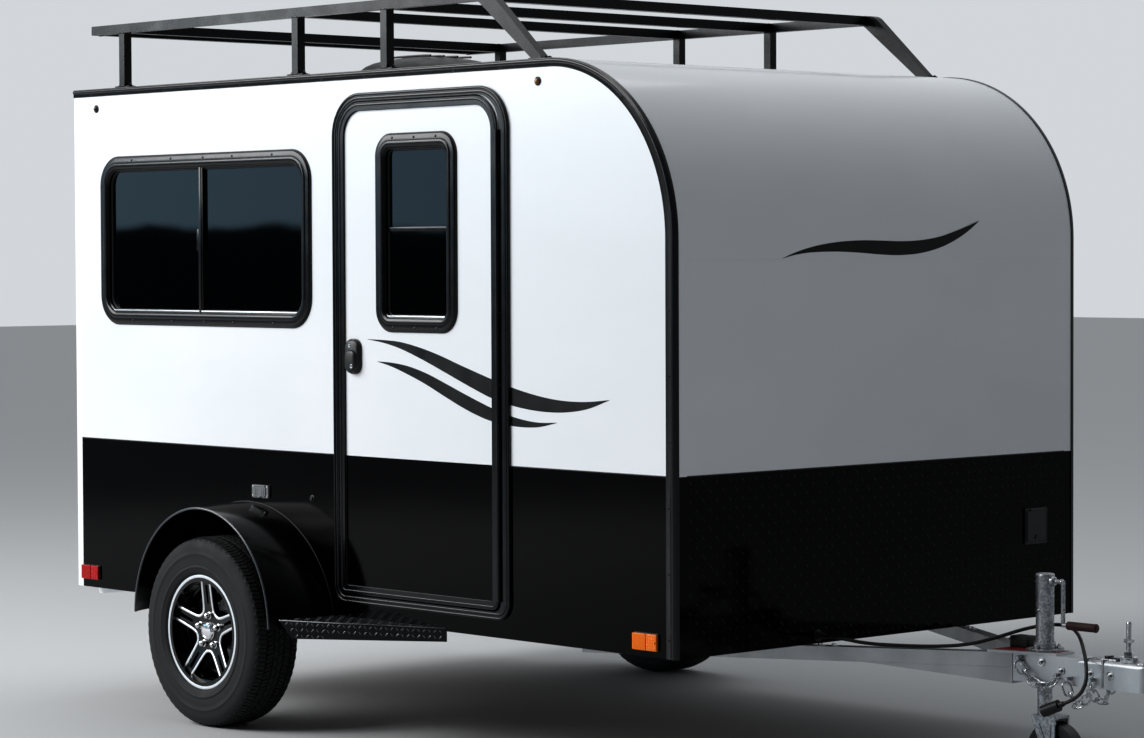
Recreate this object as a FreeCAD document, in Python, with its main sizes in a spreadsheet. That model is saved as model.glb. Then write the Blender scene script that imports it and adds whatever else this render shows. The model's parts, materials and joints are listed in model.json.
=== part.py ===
import FreeCAD, Part
import math
import os

import Sketcher

# A small box-bodied camping trailer with a rounded front, parked on its two wheels and its nose jack.
# +X points to the coupler, +Y to the left side, +Z up, and the ground is Z = 0.
# Stations along the trailer are counted forwards from the rear face of the body.

SIZES = {
    # body shell
    "body_length": 3353, "body_width": 1977, "wall_bottom": 420, "roof_top": 2351, "waist_height": 1001,
    "wall_thickness": 38, "nose_radius": 593, "floor_thickness": 25, "floor_gap": 7,
    # rear frame and loading ramp
    "rear_frame_depth": 35, "rear_post_width": 58, "rear_header_height": 62, "rear_sill_height": 42,
    "moving_gap": 6, "ramp_axis_reach": 12, "ramp_barrel_radius": 7, "ramp_leaf_height": 46,
    "ramp_leaf_thickness": 3, "ramp_knuckles": 9, "lock_bar_radius": 10, "lock_bar_standoff": 8,
    "lock_bar_inset": 330, "lock_bar_end_gap": 24, "lock_keeper_width": 60, "lock_keeper_margin": 120,
    "lock_handle_height": 720, "lock_handle_length": 260, "lock_handle_width": 24,
    # corner trim
    "trim_thickness": 3, "trim_roof_drop": 26, "trim_front_width": 45, "trim_top_width": 52,
    # entry door, placed from the front wall, the roof and the wall's foot
    "door_front_setback": 849, "door_width": 848, "door_lift": 93, "door_roof_drop": 108,
    "door_radius": 117, "door_foot_radius": 30, "door_gap": 5, "surround_rear_width": 28,
    "surround_front_width": 42, "surround_proud": 8, "door_trim_width": 28, "door_trim_proud": 8,
    "door_axis_gap": 10, "door_axis_reach": 14, "hinge_barrel_radius": 6, "hinge_web": 8,
    "hinge_leaf_width": 20, "hinge_leaf_thickness": 2.5, "hinge_knuckles": 13,
    "door_window_rear_margin": 208, "door_window_front_margin": 213, "door_window_drop": 117,
    "door_window_height": 682, "door_window_radius": 50,
    "handle_margin": 34, "handle_lift": 289, "handle_width": 86, "handle_height": 124,
    "handle_proud": 12, "paddle_proud": 14, "paddle_inset": 16, "handle_radius": 16,
    # side windows, between the rear corner and the door
    "window_rear_margin": 185, "window_door_gap": 165, "window_roof_drop": 265, "window_height": 636,
    "window_radius": 75, "window_proud": 10, "window_flange": 50, "window_lap": 22,
    "mullion_share": 0.49, "mullion_width": 26, "glass_thickness": 5, "glass_depth": 12, "seat_gap": 0.3,
    # roof vent
    "vent_station": 980, "vent_opening": 356, "vent_wall": 12, "vent_flange": 42,
    "vent_flange_thickness": 5, "vent_base_height": 40, "vent_lid_size": 430, "vent_lid_height": 84,
    "vent_lid_radius": 45, "vent_lid_gap": 5, "vent_lid_wall": 8, "vent_barrel_radius": 5,
    "vent_barrel_length": 120,
    # roof rack
    "rack_tube": 34, "rack_side_inset": 30.5, "rack_height": 246, "rack_rear_setback": 105,
    "rack_foot_setback": 45, "rack_bend_length": 290, "rack_bend_radius": 60, "rack_foot_plate": 90,
    "rack_foot_thickness": 6,
    # chassis and axle
    "rail_height": 60, "rail_width": 50, "rail_inset": 50.5, "rail_rear_setback": 60,
    "front_member_setback": 93, "cross_members": 5, "axle_tube": 70, "axle_lead": 150, "axle_inset": 53.5,
    "arm_thickness": 28, "arm_gap": 4, "arm_boss_radius": 34, "spindle_radius": 20,
    "spindle_end_gap": 53.5,
    # wheels
    "wheel_offset": 132, "tyre_radius": 344.5, "tyre_width": 205, "bead_radius": 192,
    "rim_flange_radius": 208, "rim_width": 178, "rim_thickness": 8, "tread_width": 160,
    "shoulder_height": 29, "rim_well_depth": 26,
    "disc_outer_face": 70, "disc_thickness": 26, "disc_dish": 14, "rim_hub_radius": 72,
    "rim_well_rear": -52, "rim_well_front": 8, "rim_well_slope": 16, "window_outer_radius": 182,
    "spoke_count": 5, "cap_radius": 30, "cap_height": 14, "drum_radius": 120, "drum_width": 76,
    "drum_step": 16, "hub_clearance": 0.6,
    # fenders and step
    "fender_half_length": 500, "fender_rise": 462, "fender_width": 162, "fender_skin": 4,
    "fender_lip": 14, "fender_plate_width": 56, "fender_foot_drop": 30, "fender_door_gap": 40,
    "step_gap": 6, "step_length": 606, "step_reach": 201, "step_lift": 10, "step_skin": 5, "step_skirt": 64,
    "step_skirt_tip": 28,
    # tongue
    "tongue_tail": 653, "tongue_length": 607, "tongue_rear_inset": 194.5, "tongue_front_half": 72,
    "beam_width": 50, "beam_height": 100, "beam_tail_height": 47, "beam_taper_length": 420,
    "coupler_half_width": 38, "coupler_neck_length": 240,
    "ball_neck_gap": 240, "ball_radius": 25.8, "ball_depth": 40, "coupler_height": 90,
    "coupler_nose_radius": 37, "coupler_edge_radius": 16, "plate_thickness": 8, "plate_rear_length": 70,
    "plate_front_length": 160, "plate_rear_half": 112, "plate_front_half": 46, "latch_setback": 65,
    "latch_base": 50, "latch_base_height": 14, "latch_radius": 8, "latch_height": 127,
    # jack
    "jack_setback": 77, "jack_tube_radius": 29.5, "jack_tube_rise": 253, "jack_tube_drop": 110,
    "jack_wall": 4.5, "jack_head_room": 113, "slide_gap": 1, "caster_radius": 100, "caster_width": 48,
    "caster_trail": 45, "caster_recess": 12, "caster_rim_height": 34, "fork_thickness": 8, "fork_gap": 6,
    "fork_head_gap": 14, "fork_width": 50, "caster_pin_radius": 8, "caster_hub_radius": 24,
    "crank_inset": 20, "crank_reach": 74, "crank_fall": 138, "crank_stub": 20, "crank_grip_length": 113,
    "crank_radius": 7, "crank_grip_radius": 13,
    # lamps and small fittings
    "rear_marker_setback": 38, "marker_length": 110, "rear_marker_lift": 31, "marker_height": 54,
    "front_marker_setback": 193, "front_marker_lift": 21, "marker_proud": 14, "marker_radius": 6,
    "tail_lamp_width": 40, "tail_lamp_lift": 340, "tail_lamp_height": 210, "tail_lamp_proud": 9,
    "inlet_lead": 24, "inlet_fender_gap": 14.5, "inlet_width": 97, "inlet_height": 47, "inlet_proud": 8,
    "hatch_inset": 148.5, "hatch_waist_drop": 320, "hatch_width": 121, "hatch_height": 127,
    "hatch_proud": 6, "plate_holder_width": 305, "plate_holder_height": 152, "plate_holder_lift": 220,
    "plate_bar_gap": 22, "plate_holder_thickness": 4,
    # safety chains
    "chain_wire": 7, "chain_link_hole": 38, "chain_link_width": 34, "chain_slack": 4.4,
    "chain_tab": 12, "chain_out": 18,
    "rear_loop_start": 30, "rear_loop_end": 178, "rear_loop_top": 26, "rear_loop_fall": 52,
    "rear_loop_sag": 40,
    "front_loop_lead": 35, "front_loop_end": 75, "front_loop_top": 72, "front_loop_sag": 75,
    # trailer cable
    "cable_diameter": 12, "gland_radius": 14, "gland_nose_radius": 8.5, "gland_length": 30,
    "gland_flange_radius": 20, "gland_flange": 5, "plug_radius": 19, "plug_length": 62, "plug_wall": 2.5,
    "plug_neck_radius": 10, "plug_neck_length": 18,
    # working value for cuts
    "overrun": 20,
}

document = FreeCAD.newDocument("camping_trailer")
sheet = document.addObject("Spreadsheet::Sheet", "sizes")
for row, (alias, value) in enumerate(SIZES.items(), start=1):
    sheet.set(f"A{row}", alias.replace("_", " "))
    sheet.set(f"B{row}", str(value))
    sheet.setAlias(f"B{row}", alias)
document.recompute()


class Size:
    """A length with its value and the expression that ties it to the sheet."""

    def __init__(self, value, text):
        self.value = float(value)
        self.text = text

    def __add__(self, other):
        other = as_size(other)
        return Size(self.value + other.value, f"({self.text} + {other.text})")

    def __sub__(self, other):
        other = as_size(other)
        return Size(self.value - other.value, f"({self.text} - {other.text})")

    def __mul__(self, factor):
        factor = as_size(factor)
        return Size(self.value * factor.value, f"({self.text} * {factor.text})")

    def __truediv__(self, factor):
        factor = as_size(factor)
        return Size(self.value / factor.value, f"({self.text} / {factor.text})")

    def __neg__(self):
        return Size(-self.value, f"(-1 * {self.text})")

    __radd__ = __add__
    __rmul__ = __mul__


def as_size(number):
    """A plain number such as zero or a factor, as a Size."""
    if isinstance(number, Size):
        return number
    return Size(number, repr(float(number)))


class SheetSizes:
    """Every named size of the sheet, as an attribute."""

    def __init__(self, names):
        for name in names:
            setattr(self, name, Size(sheet.get(name), f"sizes.{name}"))


s = SheetSizes(SIZES)
zero = as_size(0)

# Places that several pieces share.
half_width = s.body_width / 2
inner_half = half_width - s.wall_thickness
front_inner = s.body_length - s.wall_thickness
roof_inner = s.roof_top - s.wall_thickness
nose_centre = s.body_length - s.nose_radius
nose_centre_height = s.roof_top - s.nose_radius
rail_top = s.wall_bottom + s.rail_height
floor_top = rail_top + s.floor_thickness
floor_rear = s.wall_thickness + s.floor_gap
ramp_half_width = half_width - s.rear_post_width - s.moving_gap
ramp_bottom = s.wall_bottom + s.rear_sill_height + s.moving_gap
ramp_top = s.roof_top - s.rear_header_height - s.moving_gap
lock_bar_side = ramp_half_width - s.lock_bar_inset
door_front = s.body_length - s.door_front_setback
door_rear = door_front - s.door_width
door_bottom = s.wall_bottom + s.door_lift
door_top = s.roof_top - s.door_roof_drop
hinge_x = door_front + s.door_axis_gap
hinge_side = half_width + s.door_axis_reach
window_rear = s.window_rear_margin
window_front = door_rear - s.window_door_gap
window_top = s.roof_top - s.window_roof_drop
window_bottom = window_top - s.window_height
mullion_station = window_rear + (window_front - window_rear) * s.mullion_share
rail_half = inner_half - s.rail_inset
front_member = s.body_length - s.front_member_setback
beam_bottom = s.wall_bottom - s.beam_height
axle_half_length = half_width - s.axle_inset
fender_reach = s.fender_half_length + s.fender_skin
wheel_station = door_rear - s.fender_half_length - s.fender_door_gap
wheel_side = half_width + s.wheel_offset
vent_skirt = s.roof_top + s.vent_base_height / 2 + s.vent_lid_gap
vent_hinge_x = s.vent_station + s.vent_lid_size / 2 + s.vent_barrel_radius + s.seat_gap
tongue_front = s.body_length + s.tongue_length
coupler_neck = tongue_front + s.coupler_neck_length
ball_station = coupler_neck + s.ball_neck_gap
coupler_bottom = s.wall_bottom - s.coupler_height
jack_station = tongue_front + s.jack_setback
jack_tube_top = s.wall_bottom + s.jack_tube_rise
jack_leg_bottom = s.caster_radius * 2 + s.fork_head_gap + s.fork_thickness
fork_top = jack_leg_bottom - s.seat_gap
nose_reach = ball_station + s.coupler_half_width
rear_reach = s.lock_bar_standoff + s.lock_bar_radius * 2
rear_x = (rear_reach - nose_reach) / 2

RIGHT, LEFT = -1, 1
AXES = {"XY_Plane": "xy", "XZ_Plane": "xz", "YZ_Plane": "yz"}
# How near an edge lies to the place that it is looked up by.
NEAR = 0.01
# Half a right angle, as a sine.
DIAGONAL_SHARE = math.sqrt(0.5)
# Places of the rack's posts along its straight run.
POST_SHARES = (0.0862, 0.5517, 0.7685)
# Windows and slots of the rim, as (across, out) shares of the windows' outer radius.
WINDOW_SHARES = [(-0.07, 0.40), (0.07, 0.40), (0.15, 0.46), (0.45, 0.85), (0.39, 0.90), (0.20, 0.965),
                 (-0.20, 0.965), (-0.39, 0.90), (-0.45, 0.85), (-0.15, 0.46)]
SLOT_SHARES = [(-0.025, 0.55), (0.025, 0.55), (0.045, 0.93), (-0.045, 0.93)]
# A hanging chain, as (along, down) shares of its span and sag.
SAG_SHARES = [(0, 0), (0.15, 0.51), (0.3, 0.84), (0.5, 1), (0.7, 0.84), (0.85, 0.51), (1, 0)]
# The slope of an eight-sided end: the share of a radius from its middle to its corner.
CORNER_SHARE = math.sqrt(2) - 1
# How far a link is rolled from its neighbour's plane, each way, in degrees.
LINK_ROLL = 45
# The part of the seat gap to which a link finds its place in the one before it.
CLOSE_SHARE = 0.1
# The share of the shorter run that an arc of the cable takes up.
ARC_SHARE = 0.45
# The cable's route, as (station, side, height).
CABLE_ROUTE = [
    (3388, -340, 447), (3450, -340, 447), (3535, -296, 431), (3640, -232, 428), (3738, -174, 429),
    (3822, -116, 438), (3886, -52, 462), (3944, 14, 490), (4012, 60, 506), (4092, 58, 507), (4160, 18, 489),
    (4220, -36, 461), (4268, -78, 414), (4288, -102, 356), (4266, -116, 306), (4216, -126, 285),
]
nodes = []


def bind(thing, prop, size):
    """Tie one property to the sheet."""
    thing.setExpression(prop, as_size(size).text)


def keep(thing, label, station=zero, side=zero, height=zero):
    """List a finished sub-part under its label and put it at its station in the trailer's own frame."""
    thing.Label = label
    bind(thing, "Placement.Base.x", rear_x + station)
    bind(thing, "Placement.Base.y", side)
    bind(thing, "Placement.Base.z", height)
    nodes.append(thing)
    return thing


class Piece:
    """A sub-part made of sketched features, in one body."""

    def __init__(self, name):
        self.body = document.addObject("PartDesign::Body", name)
        self.name = name
        self.count = 0

    def sketch(self, plane, depth):
        """A sketch on one of the body's own origin planes, moved along the plane's normal."""
        self.count += 1
        sketch = self.body.newObject("Sketcher::SketchObject", f"{self.name}_sketch_{self.count}")
        origin = next(face for face in self.body.Origin.OriginFeatures if face.Role == plane)
        sketch.AttachmentSupport = [(origin, "")]
        sketch.MapMode = "FlatFace"
        bind(sketch, "AttachmentOffset.Base.z", depth)
        return sketch

    def polygon(self, sketch, corners):
        """A closed outline whose corners are tied to the sheet."""
        first = sketch.GeometryCount
        points = [FreeCAD.Vector(as_size(u).value, as_size(v).value, 0) for u, v in corners]
        total = len(points)
        for index in range(total):
            sketch.addGeometry(Part.LineSegment(points[index], points[(index + 1) % total]), False)
        for index, (u, v) in enumerate(corners):
            here, after = first + index, first + (index + 1) % total
            sketch.addConstraint(Sketcher.Constraint("Coincident", here, 2, after, 1))
            for kind, place in (("DistanceX", as_size(u)), ("DistanceY", as_size(v))):
                rule = Sketcher.Constraint(kind, -1, 1, here, 1, place.value)
                name = f"{kind}_{here}"
                sketch.renameConstraint(sketch.addConstraint(rule), name)
                bind(sketch, f"Constraints.{name}", place)

    def circle(self, sketch, u, v, radius):
        """A circle whose centre and radius are tied to the sheet."""
        u, v = as_size(u), as_size(v)
        centre = FreeCAD.Vector(u.value, v.value, 0)
        index = sketch.addGeometry(Part.Circle(centre, FreeCAD.Vector(0, 0, 1), radius.value), False)
        rules = [
            ("DistanceX", Sketcher.Constraint("DistanceX", -1, 1, index, 3, u.value), u),
            ("DistanceY", Sketcher.Constraint("DistanceY", -1, 1, index, 3, v.value), v),
            ("Radius", Sketcher.Constraint("Radius", index, radius.value), radius),
        ]
        for kind, rule, size in rules:
            name = f"{kind}_{index}"
            sketch.renameConstraint(sketch.addConstraint(rule), name)
            bind(sketch, f"Constraints.{name}", size)

    def solid(self, kind, plane, outlines, low, high):
        """Pad or pocket outlines between two places along the plane's normal."""
        facing = -1 if plane == "XZ_Plane" else 1
        low, high = as_size(low), as_size(high)
        starts_high = (kind == "Pad") == (facing < 0)
        depth = (high if starts_high else low) * facing
        sketch = self.sketch(plane, depth)
        for outline in outlines:
            if outline[0] == "circle":
                self.circle(sketch, *outline[1:])
            else:
                self.polygon(sketch, outline)
        before = self.body.Shape.Volume if self.count > 1 else 0
        feature = self.body.newObject(f"PartDesign::{kind}", f"{self.name}_{kind.lower()}_{self.count}")
        feature.Profile = sketch
        bind(feature, "Length", high - low)
        document.recompute()
        grew = self.body.Shape.Volume - before
        if (grew > 0) != (kind == "Pad"):
            raise RuntimeError(f"{feature.Name} changed the volume by {grew}")
        return feature

    def pad(self, plane, low, high, *outlines):
        return self.solid("Pad", plane, outlines, low, high)

    def pocket(self, plane, low, high, *outlines):
        return self.solid("Pocket", plane, outlines, low, high)

    def revolve(self, outline):
        """Turn an outline of (place along Y, radius) corners about the Y axis."""
        sketch = self.sketch("YZ_Plane", zero)
        self.polygon(sketch, outline)
        feature = self.body.newObject("PartDesign::Revolution", f"{self.name}_turned_{self.count}")
        feature.Profile = sketch
        feature.ReferenceAxis = (sketch, ["H_Axis"])
        document.recompute()
        return feature

    def round(self, radius, plane, corners):
        """Fillet the edges that run along the plane's normal through the corners."""
        u_axis, v_axis = AXES[plane]
        base = self.body.Tip
        wanted = [(as_size(u).value, as_size(v).value) for u, v in corners]
        names = []
        for index, edge in enumerate(base.Shape.Edges, start=1):
            if edge.Curve.TypeId != "Part::GeomLine":
                continue
            ends = [vertex.Point for vertex in edge.Vertexes]
            for u, v in wanted:
                if all(math.hypot(getattr(end, u_axis) - u, getattr(end, v_axis) - v) < NEAR for end in ends):
                    names.append(f"Edge{index}")
        return self.fillet(base, names, radius)

    def round_rings(self, radius, rings):
        """Fillet the circular edges, about the Y axis, at (place along Y, radius)."""
        base = self.body.Tip
        names = []
        for index, edge in enumerate(base.Shape.Edges, start=1):
            if edge.Curve.TypeId != "Part::GeomCircle":
                continue
            curve = edge.Curve
            for place, ring in rings:
                apart = math.hypot(curve.Center.y - as_size(place).value, curve.Radius - as_size(ring).value)
                if apart < NEAR and math.hypot(curve.Center.x, curve.Center.z) < NEAR:
                    names.append(f"Edge{index}")
        return self.fillet(base, names, radius)

    def round_rim(self, radius, height, ahead_of=None):
        """Fillet every edge that lies at one height, or those of them ahead of a station."""
        base = self.body.Tip
        names = []
        for index, edge in enumerate(base.Shape.Edges, start=1):
            level = all(abs(vertex.Z - as_size(height).value) < NEAR for vertex in edge.Vertexes)
            if level and (ahead_of is None or edge.BoundBox.XMin > ahead_of.value):
                names.append(f"Edge{index}")
        return self.fillet(base, names, radius)

    def fillet(self, base, names, radius):
        """Round the named edges of a feature."""
        if not names:
            raise RuntimeError(f"{self.name} has no edge to round")
        self.count += 1
        feature = self.body.newObject("PartDesign::Fillet", f"{self.name}_round_{self.count}")
        feature.Base = (base, names)
        bind(feature, "Radius", radius)
        document.recompute()
        return feature

    def repeat(self, feature, sketch, count):
        """Repeat a feature evenly round its sketch's normal."""
        self.count += 1
        pattern = self.body.newObject("PartDesign::PolarPattern", f"{self.name}_pattern_{self.count}")
        pattern.Originals = [feature]
        pattern.Axis = (sketch, ["N_Axis"])
        pattern.Angle = 360
        bind(pattern, "Occurrences", count)
        self.body.Tip = pattern
        document.recompute()
        return pattern


def rectangle(u_low, v_low, u_high, v_high):
    """The corners of a rectangle."""
    return [(u_low, v_low), (u_high, v_low), (u_high, v_high), (u_low, v_high)]


def block(name, low, high):
    """A plain box between two corners, each (station, side, height)."""
    box = document.addObject("Part::Box", name)
    for prop, start, end in zip(("Length", "Width", "Height"), low, high):
        bind(box, prop, as_size(end) - as_size(start))
    for axis, start in zip("xyz", low):
        bind(box, f"Placement.Base.{axis}", start)
    return box


def rod(name, radius, start, length, axis):
    """A cylinder that runs from its start point along +X, +Y or +Z."""
    turns = {
        "x": FreeCAD.Rotation(FreeCAD.Vector(0, 1, 0), 90),
        "y": FreeCAD.Rotation(FreeCAD.Vector(1, 0, 0), -90),
        "z": FreeCAD.Rotation(),
    }
    cylinder = document.addObject("Part::Cylinder", name)
    cylinder.Placement = FreeCAD.Placement(FreeCAD.Vector(), turns[axis])
    bind(cylinder, "Radius", radius)
    bind(cylinder, "Height", length)
    for letter, place in zip("xyz", start):
        bind(cylinder, f"Placement.Base.{letter}", place)
    return cylinder


def ball(name, radius, centre):
    """A sphere, as at the bend of a bent bar."""
    sphere = document.addObject("Part::Sphere", name)
    bind(sphere, "Radius", radius)
    for letter, place in zip("xyz", centre):
        bind(sphere, f"Placement.Base.{letter}", place)
    return sphere


def group(name, *things):
    """Solids that don't touch, as one node."""
    compound = document.addObject("Part::Compound", name)
    compound.Links = list(things)
    return compound


def join(name, *things):
    """Solids welded into one."""
    fused = document.addObject("Part::MultiFuse", name)
    fused.Shapes = list(things)
    fused.Refine = True
    return fused


def cut(name, base, tool):
    """One solid less another."""
    result = document.addObject("Part::Cut", name)
    result.Base = base
    result.Tool = tool
    return result


def mirrored(name, thing):
    """The same piece on the other side of the trailer."""
    mirror = document.addObject("Part::Mirroring", name)
    mirror.Source = thing
    mirror.Normal = FreeCAD.Vector(0, 1, 0)
    return mirror


def both_sides(name, thing):
    """A left piece and its mirrored right one, as one node."""
    return group(name, thing, mirrored(f"{name}_mirror", thing))


def side_span(side, inner, outer):
    """The low and high Y of a layer that lies between two distances from the centre plane."""
    return (inner, outer) if side == LEFT else (-outer, -inner)


# Body shell

def window_corners(inset=zero):
    """The side window's outline, less an inset."""
    return rectangle(window_rear + inset, window_bottom + inset, window_front - inset, window_top - inset)


def door_window_corners(inset=zero):
    """The door window's outline, less an inset."""
    rear, front = door_rear + s.door_window_rear_margin, door_front - s.door_window_front_margin
    top = door_top - s.door_window_drop
    bottom = top - s.door_window_height
    return rectangle(rear + inset, bottom + inset, front - inset, top - inset)


def make_upper_wall(name, side):
    """The white upper side wall, with the nose curve, its window hole and the door's opening."""
    low, high = side_span(side, inner_half, half_width)
    past_low, past_high = low - s.overrun, high + s.overrun
    wall = Piece(name)
    wall.pad("XZ_Plane", low, high,
             rectangle(s.rear_frame_depth, s.waist_height, s.body_length, s.roof_top))
    wall.round(s.nose_radius, "XZ_Plane", [(s.body_length, s.roof_top)])
    hole = window_corners(s.window_lap)
    wall.pocket("XZ_Plane", past_low, past_high, hole)
    wall.round(s.window_radius - s.window_lap, "XZ_Plane", hole)
    if side == RIGHT:
        top = door_top + s.door_gap
        rear, front = door_rear - s.door_gap, door_front + s.door_gap
        wall.pocket("XZ_Plane", past_low, past_high, rectangle(rear, s.waist_height - s.overrun, front, top))
        wall.round(s.door_radius + s.door_gap, "XZ_Plane", [(rear, top), (front, top)])
    keep(wall.body, name)


def make_lower_wall(name, side):
    """The black lower side wall, cut round the door's foot on the right."""
    low, high = side_span(side, inner_half, half_width)
    wall = Piece(name)
    wall.pad("XZ_Plane", low, high,
             rectangle(s.rear_frame_depth, s.wall_bottom, s.body_length, s.waist_height))
    if side == RIGHT:
        foot = door_bottom - s.door_gap
        rear, front = door_rear - s.door_gap, door_front + s.door_gap
        wall.pocket("XZ_Plane", low - s.overrun, high + s.overrun,
                    rectangle(rear, foot, front, s.waist_height + s.overrun))
        wall.round(s.door_foot_radius + s.door_gap, "XZ_Plane", [(rear, foot), (front, foot)])
    keep(wall.body, name)


def make_roof_panel():
    """One panel for the roof and the curved front, down to the waist, with the vent's hole."""
    roof = Piece("roof_panel")
    outline = [
        (s.rear_frame_depth, roof_inner), (front_inner, roof_inner), (front_inner, s.waist_height),
        (s.body_length, s.waist_height), (s.body_length, s.roof_top), (s.rear_frame_depth, s.roof_top),
    ]
    roof.pad("XZ_Plane", -inner_half, inner_half, outline)
    roof.round(s.nose_radius - s.wall_thickness, "XZ_Plane", [(front_inner, roof_inner)])
    roof.round(s.nose_radius, "XZ_Plane", [(s.body_length, s.roof_top)])
    half = s.vent_opening / 2 + s.vent_wall + s.seat_gap
    roof.pocket("XY_Plane", roof_inner - s.overrun, s.roof_top + s.overrun,
                rectangle(s.vent_station - half, -half, s.vent_station + half, half))
    keep(roof.body, "roof_panel")


def make_front_panel():
    """The black lower front panel."""
    panel = Piece("front_lower_panel")
    panel.pad("YZ_Plane", front_inner, s.body_length,
              rectangle(-inner_half, s.wall_bottom, inner_half, s.waist_height))
    keep(panel.body, "front_lower_panel")


def make_floor():
    floor = Piece("floor")
    floor.pad("XY_Plane", rail_top, floor_top, rectangle(floor_rear, -inner_half, front_inner, inner_half))
    keep(floor.body, "floor")


def trim_path(outset, top_drop, front_width):
    """The band between the roof and front line and a line inside it, as a face in the XZ plane."""
    outer_radius = s.nose_radius.value + outset
    centre = FreeCAD.Vector(nose_centre.value, 0, nose_centre_height.value)
    across, up = FreeCAD.Vector(1, 0, 0), FreeCAD.Vector(0, 0, 1)
    down = FreeCAD.Vector(0, -1, 0)
    front_reach, roof_reach = s.nose_radius.value - front_width, s.nose_radius.value - top_drop
    rear_station, foot = 0, s.wall_bottom.value

    def arc(reach, rise):
        """A quarter curve from the roof line to the front line."""
        if reach == rise:
            curve = Part.Circle(centre, down, reach)
            return Part.Arc(centre + up * rise, centre + (up * rise + across * reach) * DIAGONAL_SHARE,
                            centre + across * reach).toShape()
        major, minor = max(reach, rise), min(reach, rise)
        long_axis, short_axis = (across, up) if reach > rise else (up, across)
        curve = Part.Ellipse(centre + long_axis * major, centre + short_axis * minor, centre)
        first, last = curve.parameter(centre + up * rise), curve.parameter(centre + across * reach)
        if abs(last - first) > math.pi:
            first, last = sorted((first, last))
            first += 2 * math.pi
        return curve.toShape(min(first, last), max(first, last))

    outer, inner = arc(outer_radius, outer_radius), arc(front_reach, roof_reach)
    corners = [
        FreeCAD.Vector(rear_station, 0, centre.z + outer_radius), centre + up * outer_radius,
        centre + across * outer_radius, FreeCAD.Vector(centre.x + outer_radius, 0, foot),
        FreeCAD.Vector(centre.x + front_reach, 0, foot), centre + across * front_reach,
        centre + up * roof_reach, FreeCAD.Vector(rear_station, 0, centre.z + roof_reach),
    ]
    lines = [(0, 1), (2, 3), (3, 4), (4, 5), (6, 7), (7, 0)]
    edges = [Part.makeLine(corners[a], corners[b]) for a, b in lines] + [outer, inner]
    return Part.Face(Part.Wire(Part.__sortEdges__(edges)))


def make_corner_trims():
    """The black corner extrusion on each side: over the roof edge, round the curve, down the front."""
    outset, top = s.trim_thickness.value, s.trim_top_width.value
    outside = half_width.value + outset
    flange = trim_path(outset, s.trim_roof_drop.value, s.trim_front_width.value)
    flange.translate(FreeCAD.Vector(0, half_width.value, 0))
    side_leg = flange.extrude(FreeCAD.Vector(0, outset, 0))
    strip = trim_path(outset, 0, 0)
    strip.translate(FreeCAD.Vector(0, outside - top, 0))
    top_leg = strip.extrude(FreeCAD.Vector(0, top - outset, 0))
    leg = side_leg.fuse(top_leg).removeSplitter()
    other = leg.mirror(FreeCAD.Vector(), FreeCAD.Vector(0, 1, 0))
    trims = document.addObject("Part::Feature", "corner_trims")
    trims.Shape = Part.makeCompound([leg, other])
    keep(trims, "corner_trims")


def make_rear_frame():
    """The white frame round the loading ramp: two corner posts, a header and a sill."""
    frame = Piece("rear_frame")
    opening = half_width - s.rear_post_width
    frame.pad("YZ_Plane", zero, s.rear_frame_depth,
              rectangle(-half_width, s.wall_bottom, half_width, s.roof_top),
              rectangle(-opening, s.wall_bottom + s.rear_sill_height, opening,
                        s.roof_top - s.rear_header_height))
    keep(frame.body, "rear_frame")


# Loading ramp

def make_ramp():
    """The rear panel, hinged along its foot, with its hinge barrel and two lock bars outside."""
    ramp = Piece("ramp_door")
    ramp.pad("YZ_Plane", zero, s.wall_thickness,
             rectangle(-ramp_half_width, ramp_bottom, ramp_half_width, ramp_top))
    keep(ramp.body, "ramp_door")

    bars = []
    reach = s.lock_bar_standoff + s.lock_bar_radius
    for side, word in ((RIGHT, "right"), (LEFT, "left")):
        place = lock_bar_side * side
        bar = rod(f"lock_bar_{word}", s.lock_bar_radius, (-reach, place, ramp_bottom + s.lock_bar_end_gap),
                  ramp_top - ramp_bottom - s.lock_bar_end_gap * 2, "z")
        pads = []
        for spot, height in (("low", ramp_bottom + s.lock_keeper_margin),
                             ("middle", ramp_bottom + s.lock_handle_height),
                             ("high", ramp_top - s.lock_keeper_margin)):
            half = s.lock_keeper_width / 2
            pads.append(block(f"lock_pad_{word}_{spot}", (-reach, place - half, height - half),
                              (zero, place + half, height + half)))
        low, high = ((place, place + s.lock_handle_length) if side == LEFT
                     else (place - s.lock_handle_length, place))
        half = s.lock_handle_width / 2
        height = ramp_bottom + s.lock_handle_height
        pads.append(block(f"lock_handle_{word}", (-reach - half, low, height - half),
                          (-reach + s.lock_bar_radius / 2, high, height + half)))
        bars.append(join(f"lock_{word}", bar, *pads))
    keep(group("ramp_locks", *bars), "ramp_locks")


def knuckles(name, count, radius, start, length, axis, moving):
    """Every second knuckle of a long hinge, as cylinders with a small gap between neighbours."""
    pitch = length / count
    column = "xyz".index(axis)
    barrels = []
    for index in range(1 if moving else 0, int(count.value), 2):
        corner = list(start)
        corner[column] = start[column] + pitch * index + s.seat_gap / 2
        barrels.append((corner, rod(f"{name}_{index}", radius, corner, pitch - s.seat_gap, axis), pitch))
    return barrels


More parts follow.
